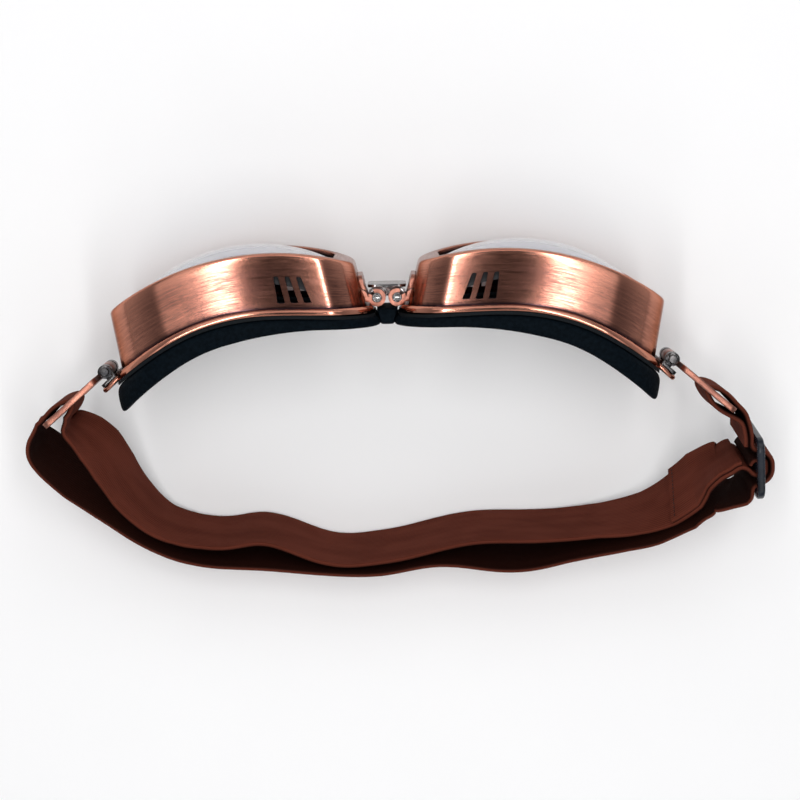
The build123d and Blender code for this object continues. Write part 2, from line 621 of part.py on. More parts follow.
def band(plane, points, thickness):
    """Webbing that follows points drawn on a plane, with its width square to that plane."""
    line = Spline(*points)
    sides = []
    for sign in (-1, 1):
        side = []
        for i in range(BAND_STATIONS):
            along = line % (i / (BAND_STATIONS - 1))
            here = line @ (i / (BAND_STATIONS - 1))
            shift = Vector(-along.Y, along.X) * (sign * thickness / 2)
            side.append((here.X + shift.X, here.Y + shift.Y))
        sides.append(side)
    with BuildPart() as made:
        with BuildSketch(plane):
            with BuildLine():
                Spline(*sides[0])
                Spline(*sides[1])
                Line(sides[0][0], sides[1][0])
                Line(sides[0][-1], sides[1][-1])
            make_face()
        extrude(amount=STRAP_WIDTH / 2, both=True)
    return made.part


# The folds round the brackets' bars, drawn with x along the bracket and y forward
fold_plane = Plane((lug_axis.X, lug_axis.Y, CUP_CENTRE_Z), x_dir=(cos(swing), sin(swing), 0), z_dir=(0, 0, 1))
fold_run = BRACKET_THICKNESS / 2 + STRAP_GAP + STRAP_THICKNESS / 2
bar_edge = window_end + STRAP_GAP
fold_middle = [(bar_edge, fold_run), (window_end - FOLD_TIP, 0), (bar_edge, -fold_run)]
left_fold = band(
    fold_plane,
    [(BRACKET_LENGTH + FOLD_TAIL, fold_run), (BRACKET_LENGTH, fold_run)]
    + fold_middle
    + [FOLD_END],
    STRAP_THICKNESS,
)
left_fold = mirror(left_fold, about=Plane.YZ)
right_loop = band(
    fold_plane,
    LOOP_OUTER_LEG + [(BRACKET_LENGTH, fold_run)] + fold_middle + LOOP_INNER_LEG,
    STRAP_THICKNESS,
)

# Slider frame on its own plane, tipped with the strap
heading = radians(SLIDER_ANGLE)
rise = radians(SLIDER_RISE)
lean = radians(STRAP_LEAN * (CUP_CENTRE_Z - SLIDER_CENTRE[2]) / (CUP_CENTRE_Z - STRAP_LOW))
forward = Vector(cos(heading) * cos(rise), sin(heading) * cos(rise), sin(rise))
level_out = Vector(sin(heading), -cos(heading), 0)
outward = (level_out * cos(lean) - Vector(0, 0, sin(lean))).normalized()
outward = (outward - forward * outward.dot(forward)).normalized()
slider_face = Plane(SLIDER_CENTRE, x_dir=forward, z_dir=outward)
slider_top = Plane(SLIDER_CENTRE, x_dir=forward, z_dir=forward.cross(outward))
slot_length = (SLIDER_LENGTH - SLIDER_BAR) / 2 - SLIDER_END
slot_x = (SLIDER_BAR + slot_length) / 2
# The rounded edges stay within the narrowest wall of the frame
slider_rail = (SLIDER_HEIGHT - SLIDER_SLOT) / 2
slider_wall = min(slider_rail, SLIDER_BAR, SLIDER_END, SLIDER_THICKNESS)
slider_edge_round = min(SLIDER_EDGE_ROUND, slider_wall * SLIDER_EDGE_SHARE)
with BuildPart() as slider:
    with BuildSketch(slider_face.offset(-SLIDER_THICKNESS / 2)):
        RectangleRounded(SLIDER_LENGTH, SLIDER_HEIGHT, SLIDER_ROUND)
        with Locations((-slot_x, 0), (slot_x, 0)):
            RectangleRounded(slot_length, SLIDER_SLOT, SLIDER_SLOT_ROUND, mode=Mode.SUBTRACT)
    extrude(amount=SLIDER_THICKNESS)
    faces = slider.faces().filter_by(lambda f: abs(abs(f.normal_at().dot(outward)) - 1) < 0.001)
    fillet(faces.edges(), slider_edge_round)
slider_pass = band(slider_top, PASS_POINTS, STRAP_THICKNESS)
with BuildPart() as loop_ring:
    with BuildSketch(slider_top):
        RectangleRounded(LOOP_LENGTH, LOOP_DEPTH, LOOP_ROUND)
    extrude(amount=STRAP_WIDTH / 2, both=True)
with BuildPart() as loop_hole:
    with BuildSketch(slider_top):
        Rectangle(LOOP_LENGTH - 2 * STRAP_THICKNESS, LOOP_DEPTH - 2 * STRAP_THICKNESS)
    extrude(amount=STRAP_WIDTH / 2, both=True)
slider_loop = loop_ring.part + band(slider_top, TAIL_POINTS, 2 * STRAP_THICKNESS) - loop_hole.part

# Side and back stretches of both layers
left_inner = strap_length(INNER_ROWS, 0, INNER_SPLITS[0], SIDE_SECTIONS)
back_inner = strap_length(INNER_ROWS, INNER_SPLITS[0], INNER_SPLITS[1], BACK_SECTIONS)
right_inner = strap_length(INNER_ROWS, INNER_SPLITS[1], len(INNER_ROWS) - 1, SIDE_SECTIONS)
sewn_end = strap_length(
    INNER_ROWS, SEWN_ROW, len(INNER_ROWS) - 1, SIDE_SECTIONS, STRAP_THICKNESS + SEWN_GAP
)
left_outer = strap_length(OUTER_ROWS, 0, OUTER_SPLITS[0], SIDE_SECTIONS)
back_outer = strap_length(OUTER_ROWS, OUTER_SPLITS[0], OUTER_SPLITS[1], BACK_SECTIONS)
right_outer = strap_length(OUTER_ROWS, OUTER_SPLITS[1], len(OUTER_ROWS) - 1, SIDE_SECTIONS)

# Nose pad: a foam strip that fills the gap between the cushions behind the bridge
pad_clear = cup_core(FLANGE_WIDTH + CUSHION_OVERHANG + CUSHION_GAP)
with BuildPart() as nose_pad:
    with Locations((0, -NOSE_PAD_SETBACK - NOSE_PAD_THICKNESS / 2, hinge_z)):
        Box(NOSE_PAD_WIDTH, NOSE_PAD_THICKNESS, NOSE_PAD_HEIGHT)
    add(pad_clear, mode=Mode.SUBTRACT)
    add(mirror(pad_clear, about=Plane.YZ), mode=Mode.SUBTRACT)

both_sides(cup_part, "cup_shell")
both_sides(lens.part, "lens")
both_sides(lens_seal.part, "lens_seal")
both_sides(lens_retainer.part, "lens_retainer")
both_sides(pad_carrier, "pad_carrier")
both_sides(face_cushion.part, "face_cushion")
both_sides(leaf_part, "hinge_leaf")
both_sides(Compound(children=leaf_rivets), "leaf_rivets")
both_sides(hinge_screw.part, "hinge_screw")
both_sides(lug_part, "strap_lug")
both_sides(Compound(children=lug_rivets), "lug_rivets")
both_sides(lug_pin.part, "lug_pin")
both_sides(strap_bracket.part, "strap_bracket")
save(bridge_link.part, "bridge_link")
save(nose_pad.part, "nose_pad")
save(slider.part, "slider")
save(slider_pass, "strap_slider_pass")
save(slider_loop, "strap_slider_loop")
save(left_fold, "strap_left_fold")
save(left_inner, "strap_left_inner")
save(left_outer, "strap_left_outer")
save(back_inner, "strap_back_inner")
save(back_outer, "strap_back_outer")
save(right_inner, "strap_right_inner")
save(right_outer, "strap_right_outer")
save(sewn_end, "strap_sewn_end")
save(right_loop, "strap_right_loop")
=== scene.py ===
"""Flying goggles of brushed antique copper, with domed lenses, foam face pads and a ribbed elastic strap.

The metal, foam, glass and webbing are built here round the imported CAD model, which stays the fixed frame.
Sizes inside this file are millimetres until a mesh is made, and X, Y, Z are the CAD model's own axes.
"""

import bmesh
import bpy
import numpy as np
from bpy.props import FloatProperty, FloatVectorProperty, IntProperty, PointerProperty
from contextlib import contextmanager
from math import cos, pi, radians, sin, sqrt, tan
from mathutils import Matrix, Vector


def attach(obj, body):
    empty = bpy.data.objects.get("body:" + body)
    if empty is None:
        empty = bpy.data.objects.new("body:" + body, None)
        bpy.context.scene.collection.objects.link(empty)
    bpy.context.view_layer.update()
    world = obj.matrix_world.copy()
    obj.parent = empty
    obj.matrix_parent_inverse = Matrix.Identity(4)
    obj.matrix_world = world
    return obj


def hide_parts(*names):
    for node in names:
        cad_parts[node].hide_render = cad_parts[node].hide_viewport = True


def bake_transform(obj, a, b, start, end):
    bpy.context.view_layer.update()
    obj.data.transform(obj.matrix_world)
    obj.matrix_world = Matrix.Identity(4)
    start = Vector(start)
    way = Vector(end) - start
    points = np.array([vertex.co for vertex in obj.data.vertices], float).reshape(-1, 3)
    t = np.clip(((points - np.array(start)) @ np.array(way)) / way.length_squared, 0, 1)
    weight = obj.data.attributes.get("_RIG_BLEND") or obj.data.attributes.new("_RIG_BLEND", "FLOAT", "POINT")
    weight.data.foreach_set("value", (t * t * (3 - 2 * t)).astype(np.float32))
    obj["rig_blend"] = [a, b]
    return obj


bl_info = {
    "name": "Flying goggles",
    "version": (1, 0, 0),
    "blender": (4, 5, 0),
    "location": "3D View > Sidebar > Goggles",
    "description": "Builds the metal, glass, foam and webbing of a pair of flying goggles",
    "category": "Add Mesh",
}

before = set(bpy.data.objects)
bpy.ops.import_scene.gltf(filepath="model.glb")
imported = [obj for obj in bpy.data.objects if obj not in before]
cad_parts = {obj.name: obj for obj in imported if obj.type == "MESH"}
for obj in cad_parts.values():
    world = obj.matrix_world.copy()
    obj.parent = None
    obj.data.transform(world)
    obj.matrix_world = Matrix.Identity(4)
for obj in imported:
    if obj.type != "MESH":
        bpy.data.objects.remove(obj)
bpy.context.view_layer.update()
MM = 0.001
SIDES = (("right", 1.0), ("left", -1.0))

# The right cup's own frame: u towards the nose, v up, s forward through the lens
SPLAY = radians(12.6)
DRAFT_ANGLE = radians(2.6)
DRAFT = tan(DRAFT_ANGLE)
CUP_ORIGIN = np.array((49.0, 0.0, 33.9))
CUP_U = np.array((-cos(SPLAY), sin(SPLAY), 0.0))
CUP_V = np.array((0.0, 0.0, 1.0))
CUP_S = np.array((sin(SPLAY), cos(SPLAY), 0.0))
HALF_W, HALF_H = 40.2, 31.0
FRONT_RADIUS, FRONT_SHIFT, FRONT_APEX = 85.0, 2.5, 14.1
# Corners of the cup's outline, clockwise with u to the right, and the radius that each is rounded to
CORNERS = (
    ((40.2, 28.0), 12.0),
    ((40.2, -12.4), 18.0),
    ((10.45, -31.0), 15.0),
    ((-37.7, -31.0), 24.0),
    ((-37.7, 28.0), 21.0),
)
# Half the width of both cups, and the flange's plan line as shares of it and of its depth
HALF_WIDTH = 92.6
WRAP_FRONT, WRAP_DEPTH = -2.5, 26.0
WRAP_SHARES = ((-0.06, 0.0), (0.25, 0.0), (0.48, 0.012), (0.68, 0.20), (0.84, 0.53), (1.0, 1.0), (1.08, 1.3))
LUG_AXIS = (91.6237, -22.6807)
TABLE_GAP = 0.02


def size_property(name, description, millimetres):
    """Length shown in the panel, kept in metres."""
    return FloatProperty(name=name, description=description, default=millimetres * MM, unit="LENGTH")


def colour_property(name, description, default):
    """Colour shown in the panel."""
    look = {"subtype": "COLOR", "size": 3, "min": 0, "max": 1}
    return FloatVectorProperty(name=name, description=description, default=default, **look)


class GogglesSizes(bpy.types.PropertyGroup):
    """Sizes of the details that dress the CAD model."""

    rim_round: size_property("Rim rounding", "Radius of the cup's front edge", 0.9)
    flange_roll: size_property("Flange roll", "How far the flange's rolled edge stands forward", 0.35)
    foam_swell: size_property("Foam swell", "How far the foam bulges between its edges", 0.45)
    webbing_width: size_property("Webbing width", "Width of the elastic strap", 25.0)
    webbing_thickness: size_property("Webbing thickness", "Thickness of the elastic strap", 1.5)
    rib_pitch: size_property("Rib pitch", "Distance between the ribs along the strap", 0.96)
    weft_pitch: size_property("Edge loop pitch", "Distance between the weft loops on the strap's edges", 0.9)
    stitch_count: IntProperty(name="Stitches", description="Stitches in one row across the strap", default=13, min=3)
    stitch_length: size_property("Stitch length", "Length of one stitch of the seam", 1.35)


class GogglesColours(bpy.types.PropertyGroup):
    """Colours of the finishes."""

    # Clean copper also serves as the painted highlight and painted reflection of the cups' bright mask
    copper: colour_property("Copper", "Brushed copper where it is clean", (0.60, 0.26, 0.18))
    dark_copper: colour_property("Antiqued copper", "Copper where the dark finish was left on", (0.165, 0.070, 0.054))
    # Black of the patina, also used as painted shade at the wall's foot, inside the rim and in the vent slots
    patina_and_shade: colour_property("Patina and shade", "Black in the corners and at the foot of the wall", (0.035, 0.018, 0.022))
    foam: colour_property("Foam", "Blue-black face foam", (0.0026, 0.0056, 0.0088))
    webbing: colour_property("Webbing", "Dark red-brown of the elastic", (0.150, 0.036, 0.021))
    # Groove colour, painted shade between the ribs
    webbing_shade: colour_property("Webbing grooves", "Colour between the elastic's ribs", (0.032, 0.009, 0.006))
    slider: colour_property("Slider", "Gloss black of the slider", (0.004, 0.006, 0.010))


def settings():
    """The sizes and colours in use, as two property groups."""
    scene = bpy.context.scene
    return scene.goggles_sizes, scene.goggles_colours


# ---------------------------------------------------------------- curves and outlines


def distances(points):
    """Distance along a line of points at each of them."""
    return np.concatenate(([0.0], np.cumsum(np.linalg.norm(np.diff(points, axis=0), axis=1))))


def unit(vectors):
    """Vectors of length 1 with the same directions."""
    return vectors / np.linalg.norm(vectors, axis=-1)[..., None]


def through(points, count=None, step=None):
    """Smooth curve through points: positions at even distances, and the distance of each given point."""
    pts = np.array(points, float)
    knots = distances(pts)
    gaps = np.diff(knots)
    n = len(pts)
    # Natural cubic spline, solved for the second derivatives
    a = np.zeros((n, n))
    b = np.zeros((n, pts.shape[1]))
    a[0, 0] = a[-1, -1] = 1.0
    for i in range(1, n - 1):
        h0, h1 = gaps[i - 1], gaps[i]
        a[i, i - 1], a[i, i], a[i, i + 1] = h0, 2 * (h0 + h1), h1
        b[i] = 6 * ((pts[i + 1] - pts[i]) / h1 - (pts[i] - pts[i - 1]) / h0)
    m = np.linalg.solve(a, b)

    def at(t):
        k = np.clip(np.searchsorted(knots, t, side="right") - 1, 0, n - 2)
        h = gaps[k][:, None]
        lo = ((knots[k + 1] - t)[:, None]) / h
        hi = 1 - lo
        return lo * pts[k] + hi * pts[k + 1] + ((lo**3 - lo) * m[k] + (hi**3 - hi) * m[k + 1]) * h * h / 6

    fine = np.linspace(0, knots[-1], 60 * n)
    run = distances(at(fine))
    if count is None:
        count = max(2, int(round(run[-1] / step)) + 1)
    places = np.interp(np.linspace(0, run[-1], count), run, fine)
    return at(places), np.interp(knots, fine, run)


def rounded_corner(one, other, start, radius):
    """Centre of the circle of that radius that touches two sides of the outline from inside."""
    c = np.array(start, float)
    nudge, rounds = 1e-5, 40
    for _ in range(rounds):
        f = np.array((one(c)[0] - radius, other(c)[0] - radius))
        jac = np.zeros((2, 2))
        for k in range(2):
            d = np.zeros(2)
            d[k] = nudge
            jac[:, k] = (np.array((one(c + d)[0], other(c + d)[0])) - radius - f) / nudge
        c = c - np.linalg.solve(jac, f)
    return c


def arc_side(p, q, r):
    """Side of the outline that runs along the circle through three points."""
    ax, ay, bx, by, cx, cy = *p, *q, *r
    d = 2 * (ax * (by - cy) + bx * (cy - ay) + cx * (ay - by))
    ux = ((ax**2 + ay**2) * (by - cy) + (bx**2 + by**2) * (cy - ay) + (cx**2 + cy**2) * (ay - by)) / d
    uy = ((ax**2 + ay**2) * (cx - bx) + (bx**2 + by**2) * (ax - cx) + (cx**2 + cy**2) * (bx - ax)) / d
    centre = np.array((ux, uy))
    size = np.linalg.norm(np.array(p) - centre)

    def side(c):
        out = c - centre
        return size - np.linalg.norm(out), centre + unit(out) * size

    side.centre = centre
    return side


def line_side(p, q):
    """Straight side of the outline, with the inside on its right when walked from p to q."""
    p, q = np.array(p, float), np.array(q, float)
    along = unit(q - p)
    inward = np.array((along[1], -along[0]))

    def side(c):
        d = float((c - p) @ inward)
        return d, c - inward * d

    side.centre = None
    return side


def arc_points(centre, start, end, turn, spacing):
    """Points on a circle from start towards end, the way that turn says, without the end point."""
    a = np.arctan2(*(start - centre)[::-1])
    b = np.arctan2(*(end - centre)[::-1])
    span = (b - a) * turn % (2 * pi)
    size = np.linalg.norm(start - centre)
    n = max(1, int(round(span * size / spacing)))
    angles = a + turn * span * np.arange(n) / n
    return np.stack((centre[0] + size * np.cos(angles), centre[1] + size * np.sin(angles)), axis=1)


def cup_outline(count=288):
    """Points evenly round the cup's outline in u and v, the outward direction at each, and the distances round."""
    spacing, guess_share = 0.4, 0.55
    nose_top, nose, chin, temple_low, temple_top = [np.array(place) for place, _ in CORNERS]
    sides = [
        arc_side(temple_top, (0, HALF_H), nose_top),
        line_side(nose_top, nose),
        line_side(nose, chin),
        line_side(chin, temple_low),
        arc_side(temple_low, (-HALF_W, 0), temple_top),
    ]
    centres, starts, ends = [], [], []
    for i, (corner, radius) in enumerate(CORNERS):
        one, other = sides[i], sides[(i + 1) % 5]
        centre = rounded_corner(one, other, np.array(corner) * guess_share, radius)
        centres.append(centre)
        starts.append(one(centre)[1])
        ends.append(other(centre)[1])
    path = []
    for i in range(5):
        path.append(arc_points(centres[i], starts[i], ends[i], -1, spacing))
        side, a, b = sides[(i + 1) % 5], ends[i], starts[(i + 1) % 5]
        if side.centre is None:
            n = max(1, int(round(np.linalg.norm(b - a) / spacing)))
            path.append(a + (b - a) * (np.arange(n) / n)[:, None])
        else:
            path.append(arc_points(side.centre, a, b, -1, spacing))
    line = np.concatenate(path)
    # Start low on the temple side, where the seam of the finish is out of sight
    hidden = np.array((-30.0, -28.0))
    line = np.roll(line, -int(np.argmin(np.linalg.norm(line - hidden, axis=1))), axis=0)
    closed = np.vstack((line, line[:1]))
    run = distances(closed)
    where = np.linspace(0, run[-1], count + 1)
    pts = np.stack([np.interp(where[:-1], run, closed[:, k]) for k in range(2)], axis=1)
    ahead = unit(np.roll(pts, -1, axis=0) - np.roll(pts, 1, axis=0))
    return pts, np.stack((-ahead[:, 1], ahead[:, 0]), axis=1), where


def wrap_line():
    """Plan line of the flange's front face: its points, and the backward direction at each."""
    given = [(x * HALF_WIDTH, WRAP_FRONT - y * WRAP_DEPTH) for x, y in WRAP_SHARES]
    line, _ = through(given, count=900)
    ahead = unit(np.gradient(line, axis=0))
    return line, np.stack((ahead[:, 1], -ahead[:, 0]), axis=1)


OUTLINE, OUTWARD, AROUND = cup_outline()
WRAP, WRAP_BACK = wrap_line()


def cup_point(p, out, grow, s):
    """World point of the right cup at an outline point, grown outwards, s forward of the cup's origin."""
    g = np.asarray(grow - s * DRAFT)[..., None]
    uv = p + out * g
    return CUP_ORIGIN + uv[..., :1] * CUP_U + uv[..., 1:2] * CUP_V + np.asarray(s)[..., None] * CUP_S


def wrap_depth(points):
    """How far behind the flange's front face each point lies, and its share along that face."""
    xy = np.asarray(points)[..., :2]
    flat = xy.reshape(-1, 2)
    near = np.argmin(((flat[:, None] - WRAP[None]) ** 2).sum(-1), axis=1)
    deep = ((flat - WRAP[near]) * WRAP_BACK[near]).sum(-1)
    return deep.reshape(xy.shape[:-1]), (near / (len(WRAP) - 1)).reshape(xy.shape[:-1])


def ring_at_depth(grow, depth, extra=0.0):
    """Ring of points that lies a depth behind the flange's front face, with more towards the temple."""
    rearmost, foremost, halvings = -55.0, 14.0, 26
    lo, hi = np.full(len(OUTLINE), rearmost), np.full(len(OUTLINE), foremost)
    for _ in range(halvings):
        s = (lo + hi) / 2
        deep, share = wrap_depth(cup_point(OUTLINE, OUTWARD, grow, s))
        too_deep = deep > depth + extra * share**2
        lo = np.where(too_deep, s, lo)
        hi = np.where(too_deep, hi, s)
    s = (lo + hi) / 2
    return cup_point(OUTLINE, OUTWARD, grow, s), s


def ring_at_front(grow, inset):
    """Ring of points on the cup's drum-shaped front, or an inset behind it."""
    guess, rounds = 10.0, 8
    s = np.full(len(OUTLINE), guess)
    for _ in range(rounds):
        u = OUTLINE[:, 0] + OUTWARD[:, 0] * (grow - s * DRAFT)
        s = FRONT_APEX - FRONT_RADIUS + np.sqrt((FRONT_RADIUS - inset) ** 2 - (u + FRONT_SHIFT) ** 2)
    return cup_point(OUTLINE, OUTWARD, grow, s), s


# ---------------------------------------------------------------- meshes


def mirrored(points, side):
    """The points as they are for the right side, or mirrored for the left."""
    return np.asarray(points) * np.array((side, 1.0, 1.0))


def linked(name, mesh):
    """Object made of a mesh and put in the scene."""
    obj = bpy.data.objects.new(name, mesh)
    bpy.context.scene.collection.objects.link(obj)
    return obj


@contextmanager
def editing(mesh):
    """The mesh opened for editing, and written back afterwards."""
    bm = bmesh.new()
    bm.from_mesh(mesh)
    yield bm
    bm.to_mesh(mesh)
    bm.free()


def make_piece(name, verts, faces, uvs=None, masks=None, sharp=38.0):
    """Mesh object from points in millimetres, with UVs per face corner, faces outwards and hard edges kept."""
    mesh = bpy.data.meshes.new(name)
    mesh.from_pydata([tuple(v) for v in np.asarray(verts, float) * MM], [], faces)
    # The second UV map, named wear, holds masks of polish, patina and selvedges and also of painted highlight and
    # painted shade
    for layer_name, data in (("surface", uvs), ("wear", masks)):
        if data is not None:
            layer = mesh.uv_layers.new(name=layer_name)
            flat = np.array([c for face in data for c in face], np.float32).ravel()
            layer.data.foreach_set("uv", flat)
    mesh.validate()
    obj = linked(name, mesh)
    recalculate(obj)
    shade(obj, sharp)
    return obj


def shade(obj, sharp):
    """Smooth shading with hard edges past an angle."""
    mesh = obj.data
    mesh.polygons.foreach_set("use_smooth", [True] * len(mesh.polygons))
    mesh.set_sharp_from_angle(angle=radians(sharp))


def recalculate(obj):
    """Turns all faces outwards."""
    with editing(obj.data) as bm:
        bmesh.ops.recalc_face_normals(bm, faces=bm.faces)


def lofted(rings, around, along, masks=None, wrap_last=False, along_first=False):
    """Quads between closed rings, with distances as UVs: around has a value more than a ring has points."""
    r, n = np.shape(rings)[:2]
    faces, uvs, wears = [], [], []
    for j in range(r if wrap_last else r - 1):
        k = (j + 1) % r
        for i in range(n):
            h = (i + 1) % n
            faces.append((j * n + i, j * n + h, k * n + h, k * n + i))
            uv = [(around[a], along[b]) for a, b in ((i, j), (i + 1, j), (i + 1, j + 1), (i, j + 1))]
            uvs.append([pair[::-1] for pair in uv] if along_first else uv)
            if masks is not None:
                wears.append((masks[j][i], masks[j][h], masks[k][h], masks[k][i]))
    return np.reshape(rings, (-1, 3)), faces, uvs, wears or None


def typical_distances(rings):
    """Running distance from ring to ring, and back to the first, as the middle of what the points cover."""
    steps = [float(np.median(np.linalg.norm(b - a, axis=1))) for a, b in zip(rings, [*rings[1:], rings[0]])]
    return [0.0, *np.cumsum(steps)]


def capped(faces, uvs, n, first, last):
    """Adds end faces to an open tube of rings with n points each."""
    faces += [tuple(range(first, first + n)), tuple(reversed(range(last, last + n)))]
    uvs += [((0.0, 0.0),) * n] * 2


def applied(obj):
    """Puts the result of an object's modifiers into its mesh, with none left on it."""
    graph = bpy.context.evaluated_depsgraph_get()
    mesh = bpy.data.meshes.new_from_object(obj.evaluated_get(graph), preserve_all_data_layers=True, depsgraph=graph)
    old = obj.data
    obj.modifiers.clear()
    obj.data = mesh
    mesh.name = obj.name
    bpy.data.meshes.remove(old)
    return obj


def softened(name, cad_node, width, segments):
    """Merged copy of a CAD node, its flats joined up and its hard edges rounded to a width in millimetres."""
    merge, flat, hard, crease = 2e-6, radians(0.6), radians(32.0), 30.0
    obj = linked(name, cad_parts[cad_node].data.copy())
    obj.data.materials.clear()
    with editing(obj.data) as bm:
        bmesh.ops.remove_doubles(bm, verts=bm.verts, dist=merge)
        bmesh.ops.dissolve_limit(bm, angle_limit=flat, verts=bm.verts, edges=bm.edges)
        bmesh.ops.recalc_face_normals(bm, faces=bm.faces)
    while obj.data.uv_layers:
        obj.data.uv_layers.remove(obj.data.uv_layers[0])
    bevel = obj.modifiers.new("edges", "BEVEL")
    bevel.width = width * MM
    bevel.segments = segments
    bevel.limit_method = "ANGLE"
    bevel.angle_limit = hard
    bevel.harden_normals = False
    bevel.miter_outer = "MITER_ARC"
    applied(obj)
    shade(obj, crease)
    return obj


def join(name, parts):
    """One object from several, keeping their UVs and material slots."""
    bpy.ops.object.select_all(action="DESELECT")
    for part in parts:
        part.select_set(True)
    bpy.context.view_layer.objects.active = parts[0]
    bpy.ops.object.join()
    made = parts[0]
    made.name = name
    made.data.name = name
    return made


def dress(obj, *materials):
    """Gives a piece its materials, in slot order."""
    obj.data.materials.clear()
    for material in materials:
        obj.data.materials.append(material)


def dress_node(cad_node, material):
    """Gives a CAD node that stays in view its finish."""
    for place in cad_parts[cad_node].material_slots:
        place.material = material


def settle(obj, body, slot, nodes, *materials):
    """Dresses a piece, unless it already is, and puts it on its body in the place of its CAD nodes."""
    if materials:
        dress(obj, *materials)
    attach(obj, body)
    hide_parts(*nodes)


# ---------------------------------------------------------------- finishes


def node(tree, kind, ins=None, **props):
    """Adds a node with its settings; each input is a value or the output of another node."""
    made = tree.nodes.new(kind)
    for key, value in props.items():
        setattr(made, key, value)
    for key, value in (ins or {}).items():
        value = getattr(value, "socket", value)
        socket = made.inputs[key]
        if isinstance(value, bpy.types.NodeSocket):
            tree.links.new(value, socket)
        else:
            socket.default_value = value
    return made


class Value:
    """Number that a node puts out, so that sums of such numbers can be written as sums."""

    def __init__(self, tree, socket):
        self.tree, self.socket = tree, getattr(socket, "socket", socket)

    def sum(self, operation, other=0.0, clamp=False):
        """What one operation makes of this number and another."""
        made = node(self.tree, "ShaderNodeMath", {0: self.socket, 1: other}, operation=operation, use_clamp=clamp)
        return Value(self.tree, made.outputs[0])

    def __add__(self, other):
        return self.sum("ADD", other)

    def __sub__(self, other):
        return self.sum("SUBTRACT", other)

    def __mul__(self, other):
        return self.sum("MULTIPLY", other)

    def clamped(self):
        """The same number, held between 0 and 1."""
        return self.sum("ADD", 0.0, clamp=True)

    def ramp(self, low, high):
        """0 to 1 over a range, eased, and held at its ends."""
        kind = "ShaderNodeMapRange"
        made = node(self.tree, kind, {0: self.socket, 1: low, 2: high}, interpolation_type="SMOOTHSTEP")
        return Value(self.tree, made.outputs[0])


def mixed(tree, share, a, b):
    """Colour between two colours, each an output or three numbers."""
    ins = {0: share, 6: rgba(a), 7: rgba(b)}
    return node(tree, "ShaderNodeMix", ins, data_type="RGBA").outputs[2]


def rgba(colour):
    """Four numbers from three, and an output as it is."""
    return colour if isinstance(colour, bpy.types.NodeSocket) else (*colour, 1.0)


def shaded(colour, share, lift=0.0):
    """Colour made darker or lighter by a share, with a little added."""
    return [min(1.0, c * share + lift) for c in colour]


def noise(tree, vector, scale, detail=2.0, rough=0.5):
    """Value of a noise pattern."""
    ins = {"Vector": vector, "Scale": scale, "Detail": detail, "Roughness": rough}
    return Value(tree, node(tree, "ShaderNodeTexNoise", ins).outputs[0])


def stretched(tree, vector, scale, offset=(0, 0, 0), turn=(0, 0, 0)):
    """A vector scaled by three amounts, moved and turned."""
    ins = {"Vector": vector, "Scale": scale, "Location": offset, "Rotation": turn}
    return node(tree, "ShaderNodeMapping", ins).outputs[0]


def node_group(name, kind, inputs, outputs, build):
    """Node group made once and shared by all that use it, from the names and kinds of its sockets."""
    if name in bpy.data.node_groups:
        return bpy.data.node_groups[name]
    tree = bpy.data.node_groups.new(name, kind)
    for way, sockets in (("INPUT", inputs), ("OUTPUT", outputs)):
        for label, socket_kind in sockets:
            tree.interface.new_socket(name=label, in_out=way, socket_type="NodeSocket" + socket_kind)
    given = tree.nodes.new("NodeGroupInput").outputs
    end = tree.nodes.new("NodeGroupOutput")
    for label, made in build(tree, given).items():
        tree.links.new(getattr(made, "socket", made), end.inputs[label])
    return tree


def effect(name, *outputs, scaled=True):
    """Turns a function that builds nodes into one that gives their shared group, from a vector, and a scale if any."""
    inputs = [("Vector", "Vector")] + [("Scale", "Float")] * scaled
    labels = [(label, "Float") for label in outputs]
    return lambda build: lambda: node_group(name, "ShaderNodeTree", inputs, labels, build)


def masks_of(tree, made, vector, **scale):
    """The masks of an effect placed in a material, by name."""
    outputs = node(tree, "ShaderNodeGroup", {"Vector": vector, **scale}, node_tree=made).outputs
    return {socket.name: Value(tree, socket) for socket in outputs}


@effect("Brushed lines", "Lines", scaled=False)
def brushed_lines(tree, given):
    """Fine parallel brush lines that run along the first coordinate, with longer scratches among them."""
    place = given["Vector"]
    fine = noise(tree, stretched(tree, place, (0.22, 6.0, 1.0)), 1.0, 3.0, 0.6)
    broad = noise(tree, stretched(tree, place, (0.045, 1.5, 1.0), (3.1, 7.7, 0)), 1.0, 2.0, 0.5)
    scratch = noise(tree, stretched(tree, place, (0.09, 4.0, 1.0), (11.0, 2.0, 0)), 1.0, 1.0, 0.4)
    scratch = scratch.ramp(0.66, 0.72)
    return {"Lines": fine * 0.6 + broad * 0.4 - scratch * 0.12}


@effect("Antique mottle", "Clouds", "Specks")
def antique_mottle(tree, given):
    """Cloudy patches where an antique finish is darker, from broad clouds to fine specks."""
    clouds = noise(tree, given["Vector"], given["Scale"], 3.0, 0.55)
    specks = noise(tree, given["Vector"], Value(tree, given["Scale"]) * 9.0, 3.0, 0.7)
    both = clouds * 0.75 + specks * 0.25
    return {"Clouds": both.ramp(0.36, 0.66), "Specks": specks.ramp(0.52, 0.72)}


@effect("Handling marks", "Smudges", "Scuffs")
def handling_marks(tree, given):
    """Faint smudges and hairline scuffs that handling leaves on a smooth surface."""
    smudge = noise(tree, given["Vector"], given["Scale"], 3.0, 0.55)
    turned = stretched(tree, given["Vector"], (1.0, 14.0, 3.0), turn=(0.3, 0.5, 0.7))
    scuff = noise(tree, turned, Value(tree, given["Scale"]) * 2.0, 2.0, 0.5)
    return {"Smudges": smudge.ramp(0.35, 0.70), "Scuffs": scuff.ramp(0.62, 0.70)}


